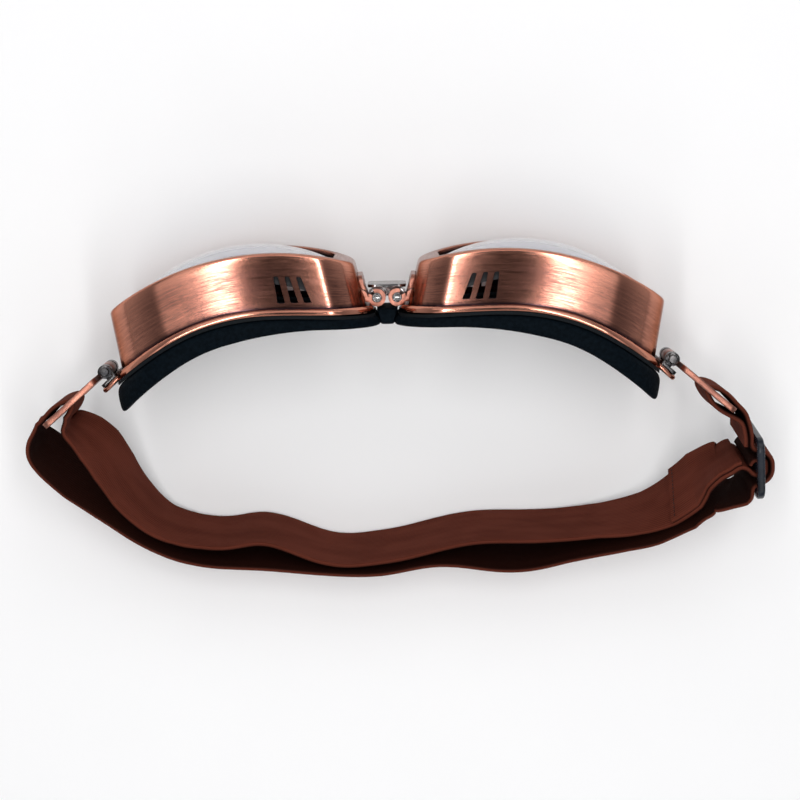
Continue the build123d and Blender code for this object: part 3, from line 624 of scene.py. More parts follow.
@effect("Fine grain", "Cells", "Drift")
def fine_grain(tree, given):
    """Even grain or cells, as a height and a mask."""
    cells = node(tree, "ShaderNodeTexVoronoi", {"Vector": given["Vector"], "Scale": given["Scale"]}).outputs[0]
    dust = noise(tree, given["Vector"], Value(tree, given["Scale"]) * 0.35, 3.0, 0.6)
    return {"Cells": cells, "Drift": dust.ramp(0.3, 0.7)}


@effect("Ribbed weave", "Height", "Fibres", "Wear", scaled=False)
def ribbed_weave(tree, given):
    """Ribs of covered rubber cord along the strap with fine weft across them, from distances in millimetres."""
    rib_pitch, row_pitch, weft_pitch = 0.96, 0.48, 0.62
    split = node(tree, "ShaderNodeSeparateXYZ", {0: given["Vector"]}).outputs
    along, across = Value(tree, split[0]), Value(tree, split[1])
    rib = (across * (2 * pi / rib_pitch)).sum("COSINE") * 0.5 + 0.5
    stagger = across.sum("DIVIDE", row_pitch).sum("FLOOR").sum("MODULO", 2.0) * pi
    weft = (along * (2 * pi / weft_pitch) + stagger).sum("SINE") * 0.5 + 0.5
    fibres = noise(tree, stretched(tree, given["Vector"], (2.2, 9.0, 1.0)), 1.0, 3.0, 0.65)
    wear = noise(tree, stretched(tree, given["Vector"], (0.05, 0.16, 1.0)), 1.0, 3.0, 0.55)
    height = rib * 0.5 + weft * 0.4 + fibres * 0.35
    return {"Height": height, "Fibres": fibres, "Wear": wear.ramp(0.32, 0.68)}


def finish(name, build, **shader):
    """Material with one Principled shader, its even values set on its own sockets."""
    if name in bpy.data.materials:
        return bpy.data.materials[name]
    material = bpy.data.materials.new(name)
    material.use_nodes = True
    tree = material.node_tree
    face = tree.nodes["Principled BSDF"]
    for key, value in shader.items():
        face.inputs[key.replace("_", " ").title().replace("Ior", "IOR")].default_value = value
    for key, made in build(tree).items():
        tree.links.new(getattr(made, "socket", made), face.inputs[key])
    return material


def bumped(tree, height, distance, strength):
    """Normal output of a bump, its distance in metres."""
    return node(tree, "ShaderNodeBump", {"Height": height, "Distance": distance, "Strength": strength}).outputs[0]


def uv_vector(tree, name="surface"):
    """The piece's own UV map as a vector."""
    return node(tree, "ShaderNodeUVMap", uv_map=name).outputs[0]


def finish_and_painted_light_masks(tree):
    """The two masks that a piece carries in its second UV map, which hold painted highlight and painted shade as well
    as polish, patina and selvedges.
    """
    split = node(tree, "ShaderNodeSeparateXYZ", {0: uv_vector(tree, "wear")}).outputs
    return Value(tree, split[0]), Value(tree, split[1])


def object_vector(tree):
    """Object coordinates, in metres."""
    return node(tree, "ShaderNodeTexCoord").outputs["Object"]


def copper_cup():
    """Brushed antique copper of the cups: bright on rim and flange, part polish and part painted highlight; darker on
    the wall, with painted reflection towards its ends; black at its foot and inside the rim, part patina and part
    painted shade.
    """
    _, colours = settings()

    def build(tree):
        lines = masks_of(tree, brushed_lines(), uv_vector(tree))["Lines"]
        mottle = masks_of(tree, antique_mottle(), object_vector(tree), Scale=75.0)
        bright, dark = finish_and_painted_light_masks(tree)
        antique = (mottle["Clouds"] - 0.5) * 0.40 + 0.90 + (lines - 0.5) * 3.6
        # The bright mask lifts the colour to clean copper: polish, and painted highlight and painted reflection
        antique = (antique * (bright * -0.9 + 1.0)).clamped()
        colour = mixed(tree, antique, colours.copper, colours.dark_copper)
        # The dark mask paints black at the wall's foot and inside the rim and cup: part patina, part painted shade
        foot = ((dark + (mottle["Specks"] - 0.5) * 0.35) * dark * 1.35).clamped()
        colour = mixed(tree, foot, colour, colours.patina_and_shade)
        rough = (lines * 0.46 + antique * 0.03 - 0.055).sum("MAXIMUM", 0.08)
        along = node(tree, "ShaderNodeTangent", direction_type="UV_MAP", uv_map="surface").outputs[0]
        normal = bumped(tree, lines, 0.0000022, 0.6)
        return {"Base Color": colour, "Roughness": rough, "Normal": normal, "Tangent": along}

    tint = (0.55, 0.42, 0.38, 1.0)
    brush = {"anisotropic": 0.8, "anisotropic_rotation": 0.25}
    return finish("Brushed antique copper", build, metallic=1.0, specular_tint=tint, **brush)


def copper_bracket():
    """Copper of the small stamped pieces, brushed along their length and dark in the middle."""
    _, colours = settings()

    def build(tree):
        place = object_vector(tree)
        lines = noise(tree, stretched(tree, place, (120.0, 120.0, 3600.0)), 1.0, 3.0, 0.6)
        clouds = masks_of(tree, antique_mottle(), place, Scale=130.0)["Clouds"]
        dark = (clouds * 0.35 + 0.42 + lines * 0.30).clamped()
        colour = mixed(tree, dark, colours.copper, colours.dark_copper)
        return {"Base Color": colour, "Roughness": lines * 0.10 + 0.27, "Normal": bumped(tree, lines, 0.0000006, 0.3)}

    return finish("Antique copper fittings", build, metallic=1.0)


def two_tone(name, made, scale, mask, one, other, rough=(), bump=None, **shader):
    """Finish between two colours by one mask; masks add to its roughness, and one may raise its surface."""

    def build(tree):
        masks = masks_of(tree, made(), object_vector(tree), Scale=scale)
        sockets = {"Base Color": mixed(tree, masks[mask], one, other)}
        if rough:
            total, *gains = rough
            for label, gain in gains:
                total = masks[label] * gain + total
            sockets["Roughness"] = total
        if bump:
            label, distance, strength = bump
            sockets["Normal"] = bumped(tree, masks[label], distance, strength)
        return sockets

    return finish(name, build, **shader)


def worn_and_highlit_copper():
    """Bare bright copper on the vents' rounded edges, part wear through the antique finish and part painted highlight.
    """
    copper = settings()[1].copper
    tones = shaded(copper, 0.90), shaded(copper, 0.55)
    rough = (0.20, ("Scuffs", 0.15))
    return two_tone("Worn copper edge", handling_marks, 300.0, "Smudges", *tones, rough, metallic=1.0)


def slot_patina_and_shade():
    """Black inside the vent slots, part left by the antique finish and part painted shade."""
    patina_and_shade = settings()[1].patina_and_shade
    tones = shaded(patina_and_shade, 0.4), patina_and_shade
    return two_tone("Slot black", antique_mottle, 200.0, "Clouds", *tones, metallic=0.6, roughness=0.5)


def nickel():
    """Polished nickel of the bridge link and its pins."""
    tones = (0.27, 0.26, 0.26), (0.11, 0.10, 0.10)
    look = {"rough": (0.17, ("Scuffs", 0.16)), "bump": ("Smudges", 0.00002, 0.2)}
    return two_tone("Polished nickel", handling_marks, 260.0, "Smudges", *tones, metallic=1.0, **look)


def gunmetal():
    """Dark oil-blackened steel of the temple lugs, their pins and the rivets."""
    tones = (0.055, 0.052, 0.052), (0.022, 0.022, 0.024)
    rough = (0.18, ("Smudges", 0.12))
    return two_tone("Blackened steel", handling_marks, 200.0, "Smudges", *tones, rough, metallic=1.0)


def black_foam():
    """Closed-cell foam, blue-black, smooth at arm's length and finely celled close to."""
    foam = settings()[1].foam
    tones = foam, shaded(foam, 0.55)
    look = {"rough": (0.62, ("Drift", 0.12)), "bump": ("Cells", 0.00012, 0.55)}
    return two_tone("Blue-black foam", fine_grain, 2300.0, "Drift", *tones, specular_ior_level=0.03, **look)


def lens_glass():
    """Partly clear lens, its pale grey both a silver flash and a painted reflection of the white surroundings."""
    tones = (0.62, 0.61, 0.66), (0.58, 0.57, 0.63)
    glass = {"transmission_weight": 0.30, "ior": 1.5, "coat_weight": 0.6, "coat_roughness": 0.03}
    return two_tone("Silvered lens", handling_marks, 45.0, "Smudges", *tones, (0.05, ("Smudges", 0.03)), **glass)


def black_rubber():
    """Matt rubber of the lens seals."""
    tones = (0.006, 0.006, 0.007), (0.011, 0.011, 0.012)
    look = {"bump": ("Cells", 0.00005, 0.3), "roughness": 0.6, "specular_ior_level": 0.2}
    return two_tone("Seal rubber", fine_grain, 1500.0, "Drift", *tones, **look)


def blackened_metal():
    """Satin black of the lens retainers, with faint lighter scuffs."""
    tones = (0.006, 0.006, 0.007), (0.022, 0.021, 0.020)
    rough = (0.34, ("Smudges", 0.15))
    return two_tone("Blackened retainer", handling_marks, 120.0, "Scuffs", *tones, rough, metallic=0.7)


def moulded_black():
    """Fine spark grain of the moulded pad carriers."""
    tones = (0.0045, 0.006, 0.0075), (0.007, 0.009, 0.011)
    look = {"bump": ("Cells", 0.00004, 0.4), "roughness": 0.7, "specular_ior_level": 0.1}
    return two_tone("Moulded carrier", fine_grain, 3200.0, "Drift", *tones, **look)


def gloss_black():
    """Gloss black plastic of the slider, with faint smudges."""
    slider = settings()[1].slider
    tones = slider, shaded(slider, 2.2, 0.004)
    look = {"rough": (0.16, ("Smudges", 0.10), ("Scuffs", 0.10)), "bump": ("Smudges", 0.00004, 0.25)}
    coat = {"specular_ior_level": 0.25, "coat_weight": 0.12, "coat_roughness": 0.12}
    return two_tone("Gloss black slider", handling_marks, 150.0, "Smudges", *tones, **look, **coat)


def elastic():
    """Ribbed elastic webbing, dark red-brown on its face with painted shade in its grooves, with darker selvedges, and
    nearly black on the face inside the fold, as painted shade between the two layers.
    """
    _, colours = settings()

    def build(tree):
        weave = masks_of(tree, ribbed_weave(), uv_vector(tree))
        high, low = colours.webbing, colours.webbing_shade
        selvedge, back = finish_and_painted_light_masks(tree)
        # The grooves between the ribs are painted darker from the weave's height, as painted shade
        share = (weave["Height"] * 1.15).clamped()
        colour = mixed(tree, share, low, high)
        colour = mixed(tree, weave["Wear"] * 0.4, colour, shaded(high, 1.25, 0.004))
        colour = mixed(tree, selvedge * 0.8, colour, shaded(high, 0.6))
        # The back face lies inside the fold, between the two layers, and is painted nearly black as shade
        black = mixed(tree, share, shaded(low, 0.2), shaded(low, 0.5))
        colour = mixed(tree, back * 0.93, colour, black)
        normal = bumped(tree, weave["Height"], 0.00012, 0.9)
        return {"Base Color": colour, "Roughness": weave["Fibres"] * 0.2 + 0.68, "Normal": normal}

    return finish("Ribbed elastic", build, specular_ior_level=0.04)


def seam_thread():
    """Twisted thread of the seams."""
    _, colours = settings()

    def build(tree):
        twist = noise(tree, stretched(tree, object_vector(tree), (2600.0, 2600.0, 900.0)), 1.0, 2.0, 0.5)
        colour = mixed(tree, twist, shaded(colours.webbing_shade, 0.3), shaded(colours.webbing, 0.35))
        return {"Base Color": colour, "Normal": bumped(tree, twist, 0.00008, 0.6)}

    return finish("Seam thread", build, roughness=0.6, specular_ior_level=0.3)


# ---------------------------------------------------------------- cups, lenses and foam


def cup_section(sizes):
    """Rings of the right cup from the flange's inner edge, round its roll, up the wall and over the rim."""
    roll, r = sizes.flange_roll / MM, sizes.rim_round / MM
    inside, flange_back, rim_back = -1.6, 1.70, 1.20
    wall_steps, rim_steps, back_steps, wall_height = 12, 5, 4, 14.0
    rings, masks = [], []

    def add(points, bright, dark):
        rings.append(points)
        shares = [np.broadcast_to(mask, len(OUTLINE)).tolist() for mask in (bright, dark)]
        masks.append(list(zip(*shares)))

    # Rows of (grown outwards, depth behind the flange's face, bright, dark), where bright is polish with painted
    # highlight and dark is patina with painted shade
    flange = (
        (inside, flange_back, 0.2, 0.5),
        (1.50, flange_back, 0.3, 0.4),
        (1.95, 1.55, 0.8, 0.1),
        (2.17, 1.15, 1.0, 0.0),
        (2.20, 0.70, 1.0, 0.0),
        (2.08, 0.25, 1.0, 0.0),
        (1.80, -0.35 * roll, 1.0, 0.0),
        (1.35, -roll, 1.0, 0.0),
        (0.90, -0.75 * roll, 0.9, 0.0),
        (0.50, -0.25 * roll, 0.6, 0.35),
        (0.22, -0.12, 0.2, 0.9),
        (0.06, -0.50, 0.1, 1.0),
        (0.00, -1.00, 0.2, 0.75),
    )
    for grow, depth, bright, dark in flange:
        points, s = ring_at_depth(grow, depth)
        add(points, bright, dark)
    foot = s
    _, top = ring_at_front(0.0, r)
    # The wall is painted brighter towards both ends, as painted reflection, and just below the rim, as painted
    # highlight; it is dark at its foot, part patina and part painted shade
    middle_u, reach, rim_highlight_fade = 6.0, 34.0, 1.6
    side = np.clip(np.abs(OUTLINE[:, 0] - middle_u) / reach, 0, 1)
    for k in range(1, wall_steps):
        share = k / wall_steps
        rise = share * wall_height
        bright = 0.16 + 0.30 * side**2 + 0.8 * np.exp((rise - wall_height) / rim_highlight_fade)
        points = cup_point(OUTLINE, OUTWARD, 0.0, foot + (top - foot) * share)
        add(points, np.clip(bright, 0, 1), max(0.0, 0.75 - rise * 0.55))
    for k in range(rim_steps + 1):
        turn = k / rim_steps * pi / 2
        points, _ = ring_at_front(-r + r * cos(turn), r - r * sin(turn))
        add(points, 1.0, 0.0)
    # Over the rim and down to the lens: (grown outwards, inset behind the front, bright, dark); the rounded rim is
    # bright with painted highlight, and its inside is painted dark as shade
    for grow, inset, bright, dark in (
        (-2.4, 0.0, 0.85, 0.0),
        (-4.2, 0.0, 0.8, 0.1),
        (-5.35, 0.02, 0.9, 0.0),
        (-5.70, 0.20, 0.9, 0.1),
        (-5.80, 0.60, 0.3, 0.6),
        (-5.70, rim_back, 0.1, 0.9),
        (inside, rim_back, 0.0, 1.0),
    ):
        points, s = ring_at_front(grow, inset)
        add(points, bright, dark)
    # The inside of the cup behind the rim is painted dark as shade
    _, back = ring_at_depth(inside, flange_back)
    for k in range(1, back_steps):
        add(cup_point(OUTLINE, OUTWARD, inside, s + (back - s) * k / back_steps), 0.0, 1.0)
    return rings, masks


def along_wrap(table, k):
    """Rows of a table that runs along the wrap line, at whole and part numbers."""
    return np.stack([np.interp(k, np.arange(len(table)), table[:, axis]) for axis in range(2)], axis=-1)


def ear_plate(side):
    """Temple ear of the flange, which carries the lug: a plate with rounded edges along the wrap line."""
    height, corner, edge, thick, front, inner_end = 13.5, 5.0, 0.8, 1.64, 0.04, 76.0
    bright_edge, merge = 1.6, 0.002 * MM
    start, stop = [int(np.argmin(np.abs(WRAP[:, 0] - x))) for x in (inner_end, HALF_WIDTH)]
    run = distances(WRAP[start : stop + 1])
    fine = np.linspace(0, edge, 6)
    middle = np.linspace(edge, 2 * height - edge, 34)[1:-1]
    rows = np.concatenate((fine, middle, 2 * height - fine[::-1])) - height
    cols = np.concatenate((np.linspace(0, 0.92, 22), 1 - (1 - np.linspace(0, 1, 10)[1:]) ** 1.8 * 0.08))
    beyond = np.maximum(np.abs(rows) - (height - corner), 0)
    ends = run[-1] - corner + np.sqrt(np.maximum(corner**2 - beyond**2, 0))
    along = cols[None] * ends[:, None]
    # Distance of each point from the plate's edge, and how far the face has fallen there
    over = run[-1] - along
    gap = np.minimum(height - np.abs(rows)[:, None], over)
    away = np.hypot(beyond[:, None], np.maximum(corner - over, 0))
    gap = np.where((beyond[:, None] > 0) & (over < corner), corner - away, gap)
    fall = np.where(gap < edge, edge - np.sqrt(np.maximum(edge**2 - (edge - np.maximum(gap, 0)) ** 2, 0)), 0.0)
    k = np.interp(along, run, np.arange(start, stop + 1))
    base, back = along_wrap(WRAP, k), along_wrap(WRAP_BACK, k)
    z = np.broadcast_to(CUP_ORIGIN[2] + rows[:, None], along.shape)[..., None]
    drop = fall * thick / 2 / edge
    depths = (front + drop, front + thick - drop)
    sheets = [np.concatenate((base + back * depth[..., None], z), axis=-1) for depth in depths]
    m, n = along.shape
    verts = np.concatenate([s.reshape(-1, 3) for s in sheets])
    faces, uvs, wears = [], [], []
    for i in range(m - 1):
        for j in range(n - 1):
            corners = [(i, j), (i, j + 1), (i + 1, j + 1), (i + 1, j)]
            for sheet, ids in enumerate((corners, corners[::-1])):
                faces.append(tuple(sheet * m * n + a * n + b for a, b in ids))
                uvs.append(tuple((rows[a] + 40, along[a, b]) for a, b in ids))
                # The plate is painted bright, most near its edges, part polish and part painted highlight
                wears.append(tuple((1.0 if gap[a, b] < bright_edge else 0.75, 0.0) for a, b in ids))
        # Wall at the hidden inner end, painted dark, part patina and part painted shade
        faces.append((i * n, (i + 1) * n, m * n + (i + 1) * n, m * n + i * n))
        uvs.append(((0, 0),) * 4)
        wears.append(((0, 1),) * 4)
    plate = make_piece("ear", mirrored(verts, side), faces, uvs, wears)
    with editing(plate.data) as bm:
        bmesh.ops.remove_doubles(bm, verts=bm.verts, dist=merge)
    recalculate(plate)
    shade(plate, 40.0)
    return plate


def vent_cutter(side):
    """Three tapered prisms that cut the vent slots through the top and the bottom of a cup."""
    slots, first_x, pitch, first_lean, less_lean = 3, 24.6, 4.1, 19.0, 4.0
    back_y, length, back_half, front_half, rounding = -0.2, 8.6, 1.2, 0.75, 0.5
    below, above = -10.0, 80.0
    verts, faces = [], []
    for i in range(slots):
        lean = radians(first_lean - less_lean * i)
        back = np.array((first_x + pitch * i, back_y))
        front = back + length * np.array((sin(lean), cos(lean)))
        corners = [back - (back_half, 0), back + (back_half, 0), front + (front_half, 0), front - (front_half, 0)]
        loop = []
        for k, p in enumerate(corners):
            a, b = unit(corners[k - 1] - p), unit(corners[(k + 1) % 4] - p)
            loop += [p + (a * (1 - t) ** 2 + b * t**2) * rounding for t in np.linspace(0, 1, 5)]
        first, n = len(verts), len(loop)
        for z in (below, above):
            verts += [(x * side, y, z) for x, y in loop]
        faces += [(first + k, first + (k + 1) % n, first + n + (k + 1) % n, first + n + k) for k in range(n)]
        faces += [tuple(first + k for k in reversed(range(n))), tuple(first + n + k for k in range(n))]
    return make_piece("vent_cutter", verts, faces)


def cut_vents(cup, side):
    """Cuts the vents and rounds their outer edges, which are bright, part wear and part painted highlight."""
    copper, edge_copper, slot = range(3)
    weight_name, hard = "bevel_weight_edge", radians(40)
    cutter = vent_cutter(side)
    dress(cutter, *cup.data.materials)
    cutter.data.polygons.foreach_set("material_index", [slot] * len(cutter.data.polygons))
    cut = cup.modifiers.new("vents", "BOOLEAN")
    cut.operation = "DIFFERENCE"
    cut.solver = "EXACT"
    cut.object = cutter
    applied(cup)
    bpy.data.objects.remove(cutter)
    cup.data.attributes.new(weight_name, "FLOAT", "EDGE")
    with editing(cup.data) as bm:
        weight = bm.edges.layers.float[weight_name]
        for edge in bm.edges:
            slots = {f.material_index for f in edge.link_faces}
            if len(edge.link_faces) == 2 and slots == {copper, slot} and edge.calc_face_angle() > hard:
                edge[weight] = 1.0
    bevel = cup.modifiers.new("vent edges", "BEVEL")
    bevel.limit_method = "WEIGHT"
    bevel.width = 0.09 * MM
    bevel.segments = 1
    bevel.material = edge_copper
    applied(cup)
    if weight_name in cup.data.attributes:
        cup.data.attributes.remove(cup.data.attributes[weight_name])
    shade(cup, 35.0)


class GOGGLES_OT_cups(bpy.types.Operator):
    """Build both copper cups with their rolled flanges, ears, rims and vent slots"""

    bl_idname = "goggles.cups"
    bl_label = "Copper cups"

    def execute(self, context):
        sizes, _ = settings()
        rings, masks = cup_section(sizes)
        along = typical_distances(rings)
        for name, side in SIDES:
            verts, faces, uvs, wears = lofted(rings, AROUND, along, masks, wrap_last=True)
            cup = make_piece("cup_" + name, mirrored(verts, side), faces, uvs, wears)
            ear = ear_plate(side)
            for part in (cup, ear):
                dress(part, copper_cup(), worn_and_highlit_copper(), slot_patina_and_shade())
            cut_vents(cup, side)
            settle(join("cup_" + name, [cup, ear]), "cup_" + name, "copper", ("cup_shell_" + name,))
        return {"FINISHED"}


LENS_THICK = 1.8
LENS_UPRIGHT, LENS_LEVEL, LENS_APEX, LENS_SHIFT = 62.0, 56.0, 16.4, 1.5


def lens_point(uv, inset):
    """World point of the lens's dome at a place in u and v, or of the surface an inset behind it."""
    upright = LENS_UPRIGHT - inset
    level = LENS_LEVEL - LENS_UPRIGHT + np.sqrt(upright**2 - uv[..., 1] ** 2)
    s = LENS_APEX - LENS_LEVEL + np.sqrt(level**2 - (uv[..., 0] + LENS_SHIFT) ** 2)
    return CUP_ORIGIN + uv[..., :1] * CUP_U + uv[..., 1:] * CUP_V + s[..., None] * CUP_S


class GOGGLES_OT_lenses(bpy.types.Operator):
    """Build both domed lenses, each one moulded piece with a rounded edge"""

    bl_idname = "goggles.lenses"
    bl_label = "Domed lenses"

    def execute(self, context):
        grow, edge_height, edge, steps = -3.15, 6.0, 0.3, 13
        rim = OUTLINE + OUTWARD * (grow - edge_height * DRAFT)
        centre = np.array((0.0, -1.0))
        # Rows of (share of the way to the rim, grown outwards, inset): the front, the rounded edge and the back
        shares = [1 - (k / steps) ** 1.3 for k in range(steps - 1, 0, -1)]
        front_edge = [(-edge, 0.0), (-edge * 0.3, edge * 0.3), (0.0, edge)]
        back_edge = [(shrink, LENS_THICK - inset) for shrink, inset in reversed(front_edge)]
        rows = [(share, 0.0, 0.0) for share in shares]
        rows += [(1.0, shrink, inset) for shrink, inset in front_edge + back_edge]
        rows += [(share, 0.0, LENS_THICK) for share in reversed(shares)]
        rings = [lens_point(centre + (rim + OUTWARD * shrink - centre) * share, inset) for share, shrink, inset in rows]
        tips = [lens_point(centre, inset) for inset in (0.0, LENS_THICK)]
        n = len(OUTLINE)
        for name, side in SIDES:
            verts, faces, uvs, _ = lofted(rings, AROUND, range(len(rings) + 1))
            first, top = len(verts), (len(rings) - 1) * n
            verts = np.vstack((verts, tips))
            for i in range(n):
                j = (i + 1) % n
                faces += [(j, i, first), (top + i, top + j, first + 1)]
                uvs += [((0, 0),) * 3] * 2
            lens = make_piece("lens_dome_" + name, mirrored(verts, side), faces, uvs, sharp=60.0)
            settle(lens, "cup_" + name, "lens", ("lens_" + name,), lens_glass())
        return {"FINISHED"}


def super_circle(turn, power):
    """Point of a circle pressed towards a square: the higher the power, the squarer."""
    return [abs(c) ** (2 / power) * (1 if c >= 0 else -1) for c in (cos(turn), sin(turn))]


class GOGGLES_OT_foam(bpy.types.Operator):
    """Build the two face pads and the nose pad of moulded foam"""

    bl_idname = "goggles.foam"
    bl_label = "Foam pads"

    def execute(self, context):
        sizes, _ = settings()
        swell_share, inner, outer, front, extra, power, count = 0.6, -5.8, 2.7, 2.75, 2.6, 4.6, 36
        swell = sizes.foam_swell / MM * swell_share
        # The foam is thinner towards the nose, from a little beyond the cup's middle on
        full, thinner, from_u, fade = 5.55, 2.2, -4.0, 30.0
        near = np.clip((OUTLINE[:, 0] - from_u) / fade, 0, 1)
        thick = full - thinner * near**2 * (3 - 2 * near)
        half, middle = (outer - inner) / 2, (outer + inner) / 2
        rings = []
        for k in range(count):
            x, y = super_circle(2 * pi * k / count, power)
            share = (1 - y) / 2
            points, _ = ring_at_depth(middle + x * half + swell * x * (1 - y * y), front + thick * share, extra * share)
            rings.append(points)
        rings = np.array(rings)
        rings[..., 2] = np.maximum(rings[..., 2], TABLE_GAP)
        for name, side in SIDES:
            verts, faces, uvs, _ = lofted(rings, AROUND, typical_distances(rings), wrap_last=True)
            pad = make_piece("face_pad_" + name, mirrored(verts, side), faces, uvs, sharp=70.0)
            settle(pad, "cup_" + name, "foam", ("face_cushion_" + name,), black_foam())
        self.nose_pad()
        return {"FINISHED"}

    def nose_pad(self):
        """Wedge of foam that fills the space between the two face pads, behind the bridge."""
        low, high, levels, count, power = 27.6, 53.2, 20, 32, 2 / 0.35
        middle_y, half_y, widest, pad_reach = -5.9, 2.55, 5.6, 2.75
        # The ends are rounded over this share of the height, to this share of the section
        end_share, end_size = 0.14, 0.72
        tip_size, tip_back = (0.8, 0.8, 1), (0, -1.2, 0)
        bend_start, bend_end = 0.8, 4.2
        nose_side = OUTLINE[OUTLINE[:, 0] > 12]
        nose_side = nose_side[np.argsort(nose_side[:, 1])]
        rings = []
        for share in np.arange(levels + 1) / levels:
            z = low + (high - low) * share
            past = max(0.0, abs(2 * share - 1) - (1 - end_share)) / end_share
            size = min(1.0, end_size + (1 - end_size) * sqrt(max(0.0, 1 - past**2)))
            u = float(np.interp(z - CUP_ORIGIN[2], nose_side[:, 1], nose_side[:, 0])) + pad_reach
            ring = []
            for i in range(count):
                x, y = super_circle(2 * pi * i / count, power)
                y = middle_y + half_y * size * y
                forward = (y - u * sin(SPLAY)) / (cos(SPLAY) - DRAFT * sin(SPLAY))
                limit = CUP_ORIGIN[0] - (u - forward * DRAFT) * cos(SPLAY) + forward * sin(SPLAY)
                ring.append((min(limit, widest) * size * x, y, z))
            rings.append(ring)
        rings = np.array(rings)
        rings[[0, -1]] = rings[[1, -2]] * tip_size + tip_back
        rings[0, :, 2], rings[-1, :, 2] = low, high
        verts, faces, uvs, _ = lofted(rings, range(count + 1), range(levels + 1))
        capped(faces, uvs, count, 0, levels * count)
        # Each half bends from the bridge to its own cup, so that the foam follows both hinges
        level = (middle_y * MM, CUP_ORIGIN[2] * MM)
        for name, side in SIDES:
            half = make_piece("nose_pad_" + name, verts, faces, uvs, sharp=70.0)
            with editing(half.data) as bm:
                # Both flat ends keep a hard edge all round
                for edge in {edge for face in bm.faces if len(face.verts) == count for edge in face.edges}:
                    edge.smooth = False
                whole = bm.verts[:] + bm.edges[:] + bm.faces[:]
                plane = {"plane_co": (0, 0, 0), "plane_no": (side, 0, 0)}
                cut = bmesh.ops.bisect_plane(bm, geom=whole, clear_inner=True, **plane)["geom_cut"]
                bmesh.ops.edgeloop_fill(bm, edges=[item for item in cut if isinstance(item, bmesh.types.BMEdge)])
            recalculate(half)
            dress(half, black_foam())
            start, end = [(side * x * MM, *level) for x in (bend_start, bend_end)]
            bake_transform(half, "bridge", "cup_" + name, start=start, end=end)
            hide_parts("nose_pad")


# ---------------------------------------------------------------- bridge, lugs and brackets


def facing_rotation(tree, label, axis, before=None, **props):
    """Rotation that turns an axis to the direction stored on each point, after an earlier one if there is one."""
    stored = node(tree, "GeometryNodeInputNamedAttribute", {"Name": label}, data_type="FLOAT_VECTOR").outputs[0]
    ins = {"Rotation": before, "Vector": stored} if before else {"Vector": stored}
    return node(tree, "FunctionNodeAlignRotationToVector", ins, axis=axis, **props).outputs[0]


def set_on_points(tree, given, shape, rotation):
    """Real copies of a shape on the group's points, in its finish."""
    ins = {"Points": given["Points"], "Instance": shape, "Rotation": rotation}
    laid = node(tree, "GeometryNodeInstanceOnPoints", ins).outputs[0]
    real = node(tree, "GeometryNodeRealizeInstances", {"Geometry": laid}).outputs[0]
    return node(tree, "GeometryNodeSetMaterial", {"Geometry": real, "Material": given["Finish"]}).outputs[0]


def swept(tree, curve, profile, caps):
    """Mesh of a profile moved along a curve."""
    ins = {"Curve": curve, "Profile Curve": profile, "Fill Caps": caps}
    return node(tree, "GeometryNodeCurveToMesh", ins).outputs[0]


def circle(tree, points, radius):
    """Circle curve with so many points."""
    ins = {"Resolution": points, "Radius": radius}
    return node(tree, "GeometryNodeCurvePrimitiveCircle", ins, mode="RADIUS").outputs[0]


def vector_of(tree, **parts):
    """Vector from its x, y and z, each a number or an output."""
    return node(tree, "ShaderNodeCombineXYZ", {key.upper(): value for key, value in parts.items()}).outputs[0]


def rivet_tree():
    """Geometry nodes that set a domed rivet head on every point, turned to the point's own direction."""
    hub_radius, merge_distance = 0.0000002, 0.000003

    def build(tree, given):
        radius, height = given["Head radius"], given["Head height"]
        # Half profile of the head, spun by a curve-to-mesh round a tiny circle
        ins = {
            "Resolution": 8,
            "Start": vector_of(tree, x=radius),
            "Start Handle": vector_of(tree, x=radius, y=Value(tree, height) * 0.7),
            "End Handle": vector_of(tree, x=Value(tree, radius) * 0.55, y=height),
            "End": vector_of(tree, y=height),
        }
        profile = node(tree, "GeometryNodeCurvePrimitiveBezierSegment", ins, mode="POSITION").outputs[0]
        head = swept(tree, circle(tree, 24, hub_radius), profile, False)
        ins = {"Geometry": head, "Distance": merge_distance}
        merged = node(tree, "GeometryNodeMergeByDistance", ins).outputs[0]
        smooth = node(tree, "GeometryNodeSetShadeSmooth", {"Geometry": merged, "Shade Smooth": True}).outputs[0]
        return {"Rivets": set_on_points(tree, given, smooth, facing_rotation(tree, "facing", "Z"))}

    inputs = (("Points", "Geometry"), ("Head radius", "Float"), ("Head height", "Float"), ("Finish", "Material"))
    return node_group("Rivet heads", "GeometryNodeTree", inputs, (("Rivets", "Geometry"),), build)


def from_nodes(name, points, directions, tree, values):
    """Plain mesh made by a node tree from points in millimetres that carry directions by name."""
    mesh = bpy.data.meshes.new(name)
    mesh.from_pydata([tuple(np.asarray(p) * MM) for p in points], [], [])
    for label, data in directions.items():
        layer = mesh.attributes.new(label, "FLOAT_VECTOR", "POINT")
        layer.data.foreach_set("vector", np.asarray(data, np.float32).ravel())
    obj = linked(name, mesh)
    modifier = obj.modifiers.new(tree.name, "NODES")
    modifier.node_group = tree
    for item in tree.interface.items_tree:
        if item.item_type == "SOCKET" and item.in_out == "INPUT" and item.name in values:
            modifier[item.identifier] = values[item.name]
    obj.update_tag()
    applied(obj)
    recalculate(obj)
    shade(obj, 50.0)
    return obj


def build_small(*rows):
    """Rounded copies of small CAD nodes, one per row: name, node, body, edge width, segments, finish and slot."""
    for name, cad_node, body, width, segments, material, slot in rows:
        settle(softened(name, cad_node, width, segments), body, slot, (cad_node,), material)


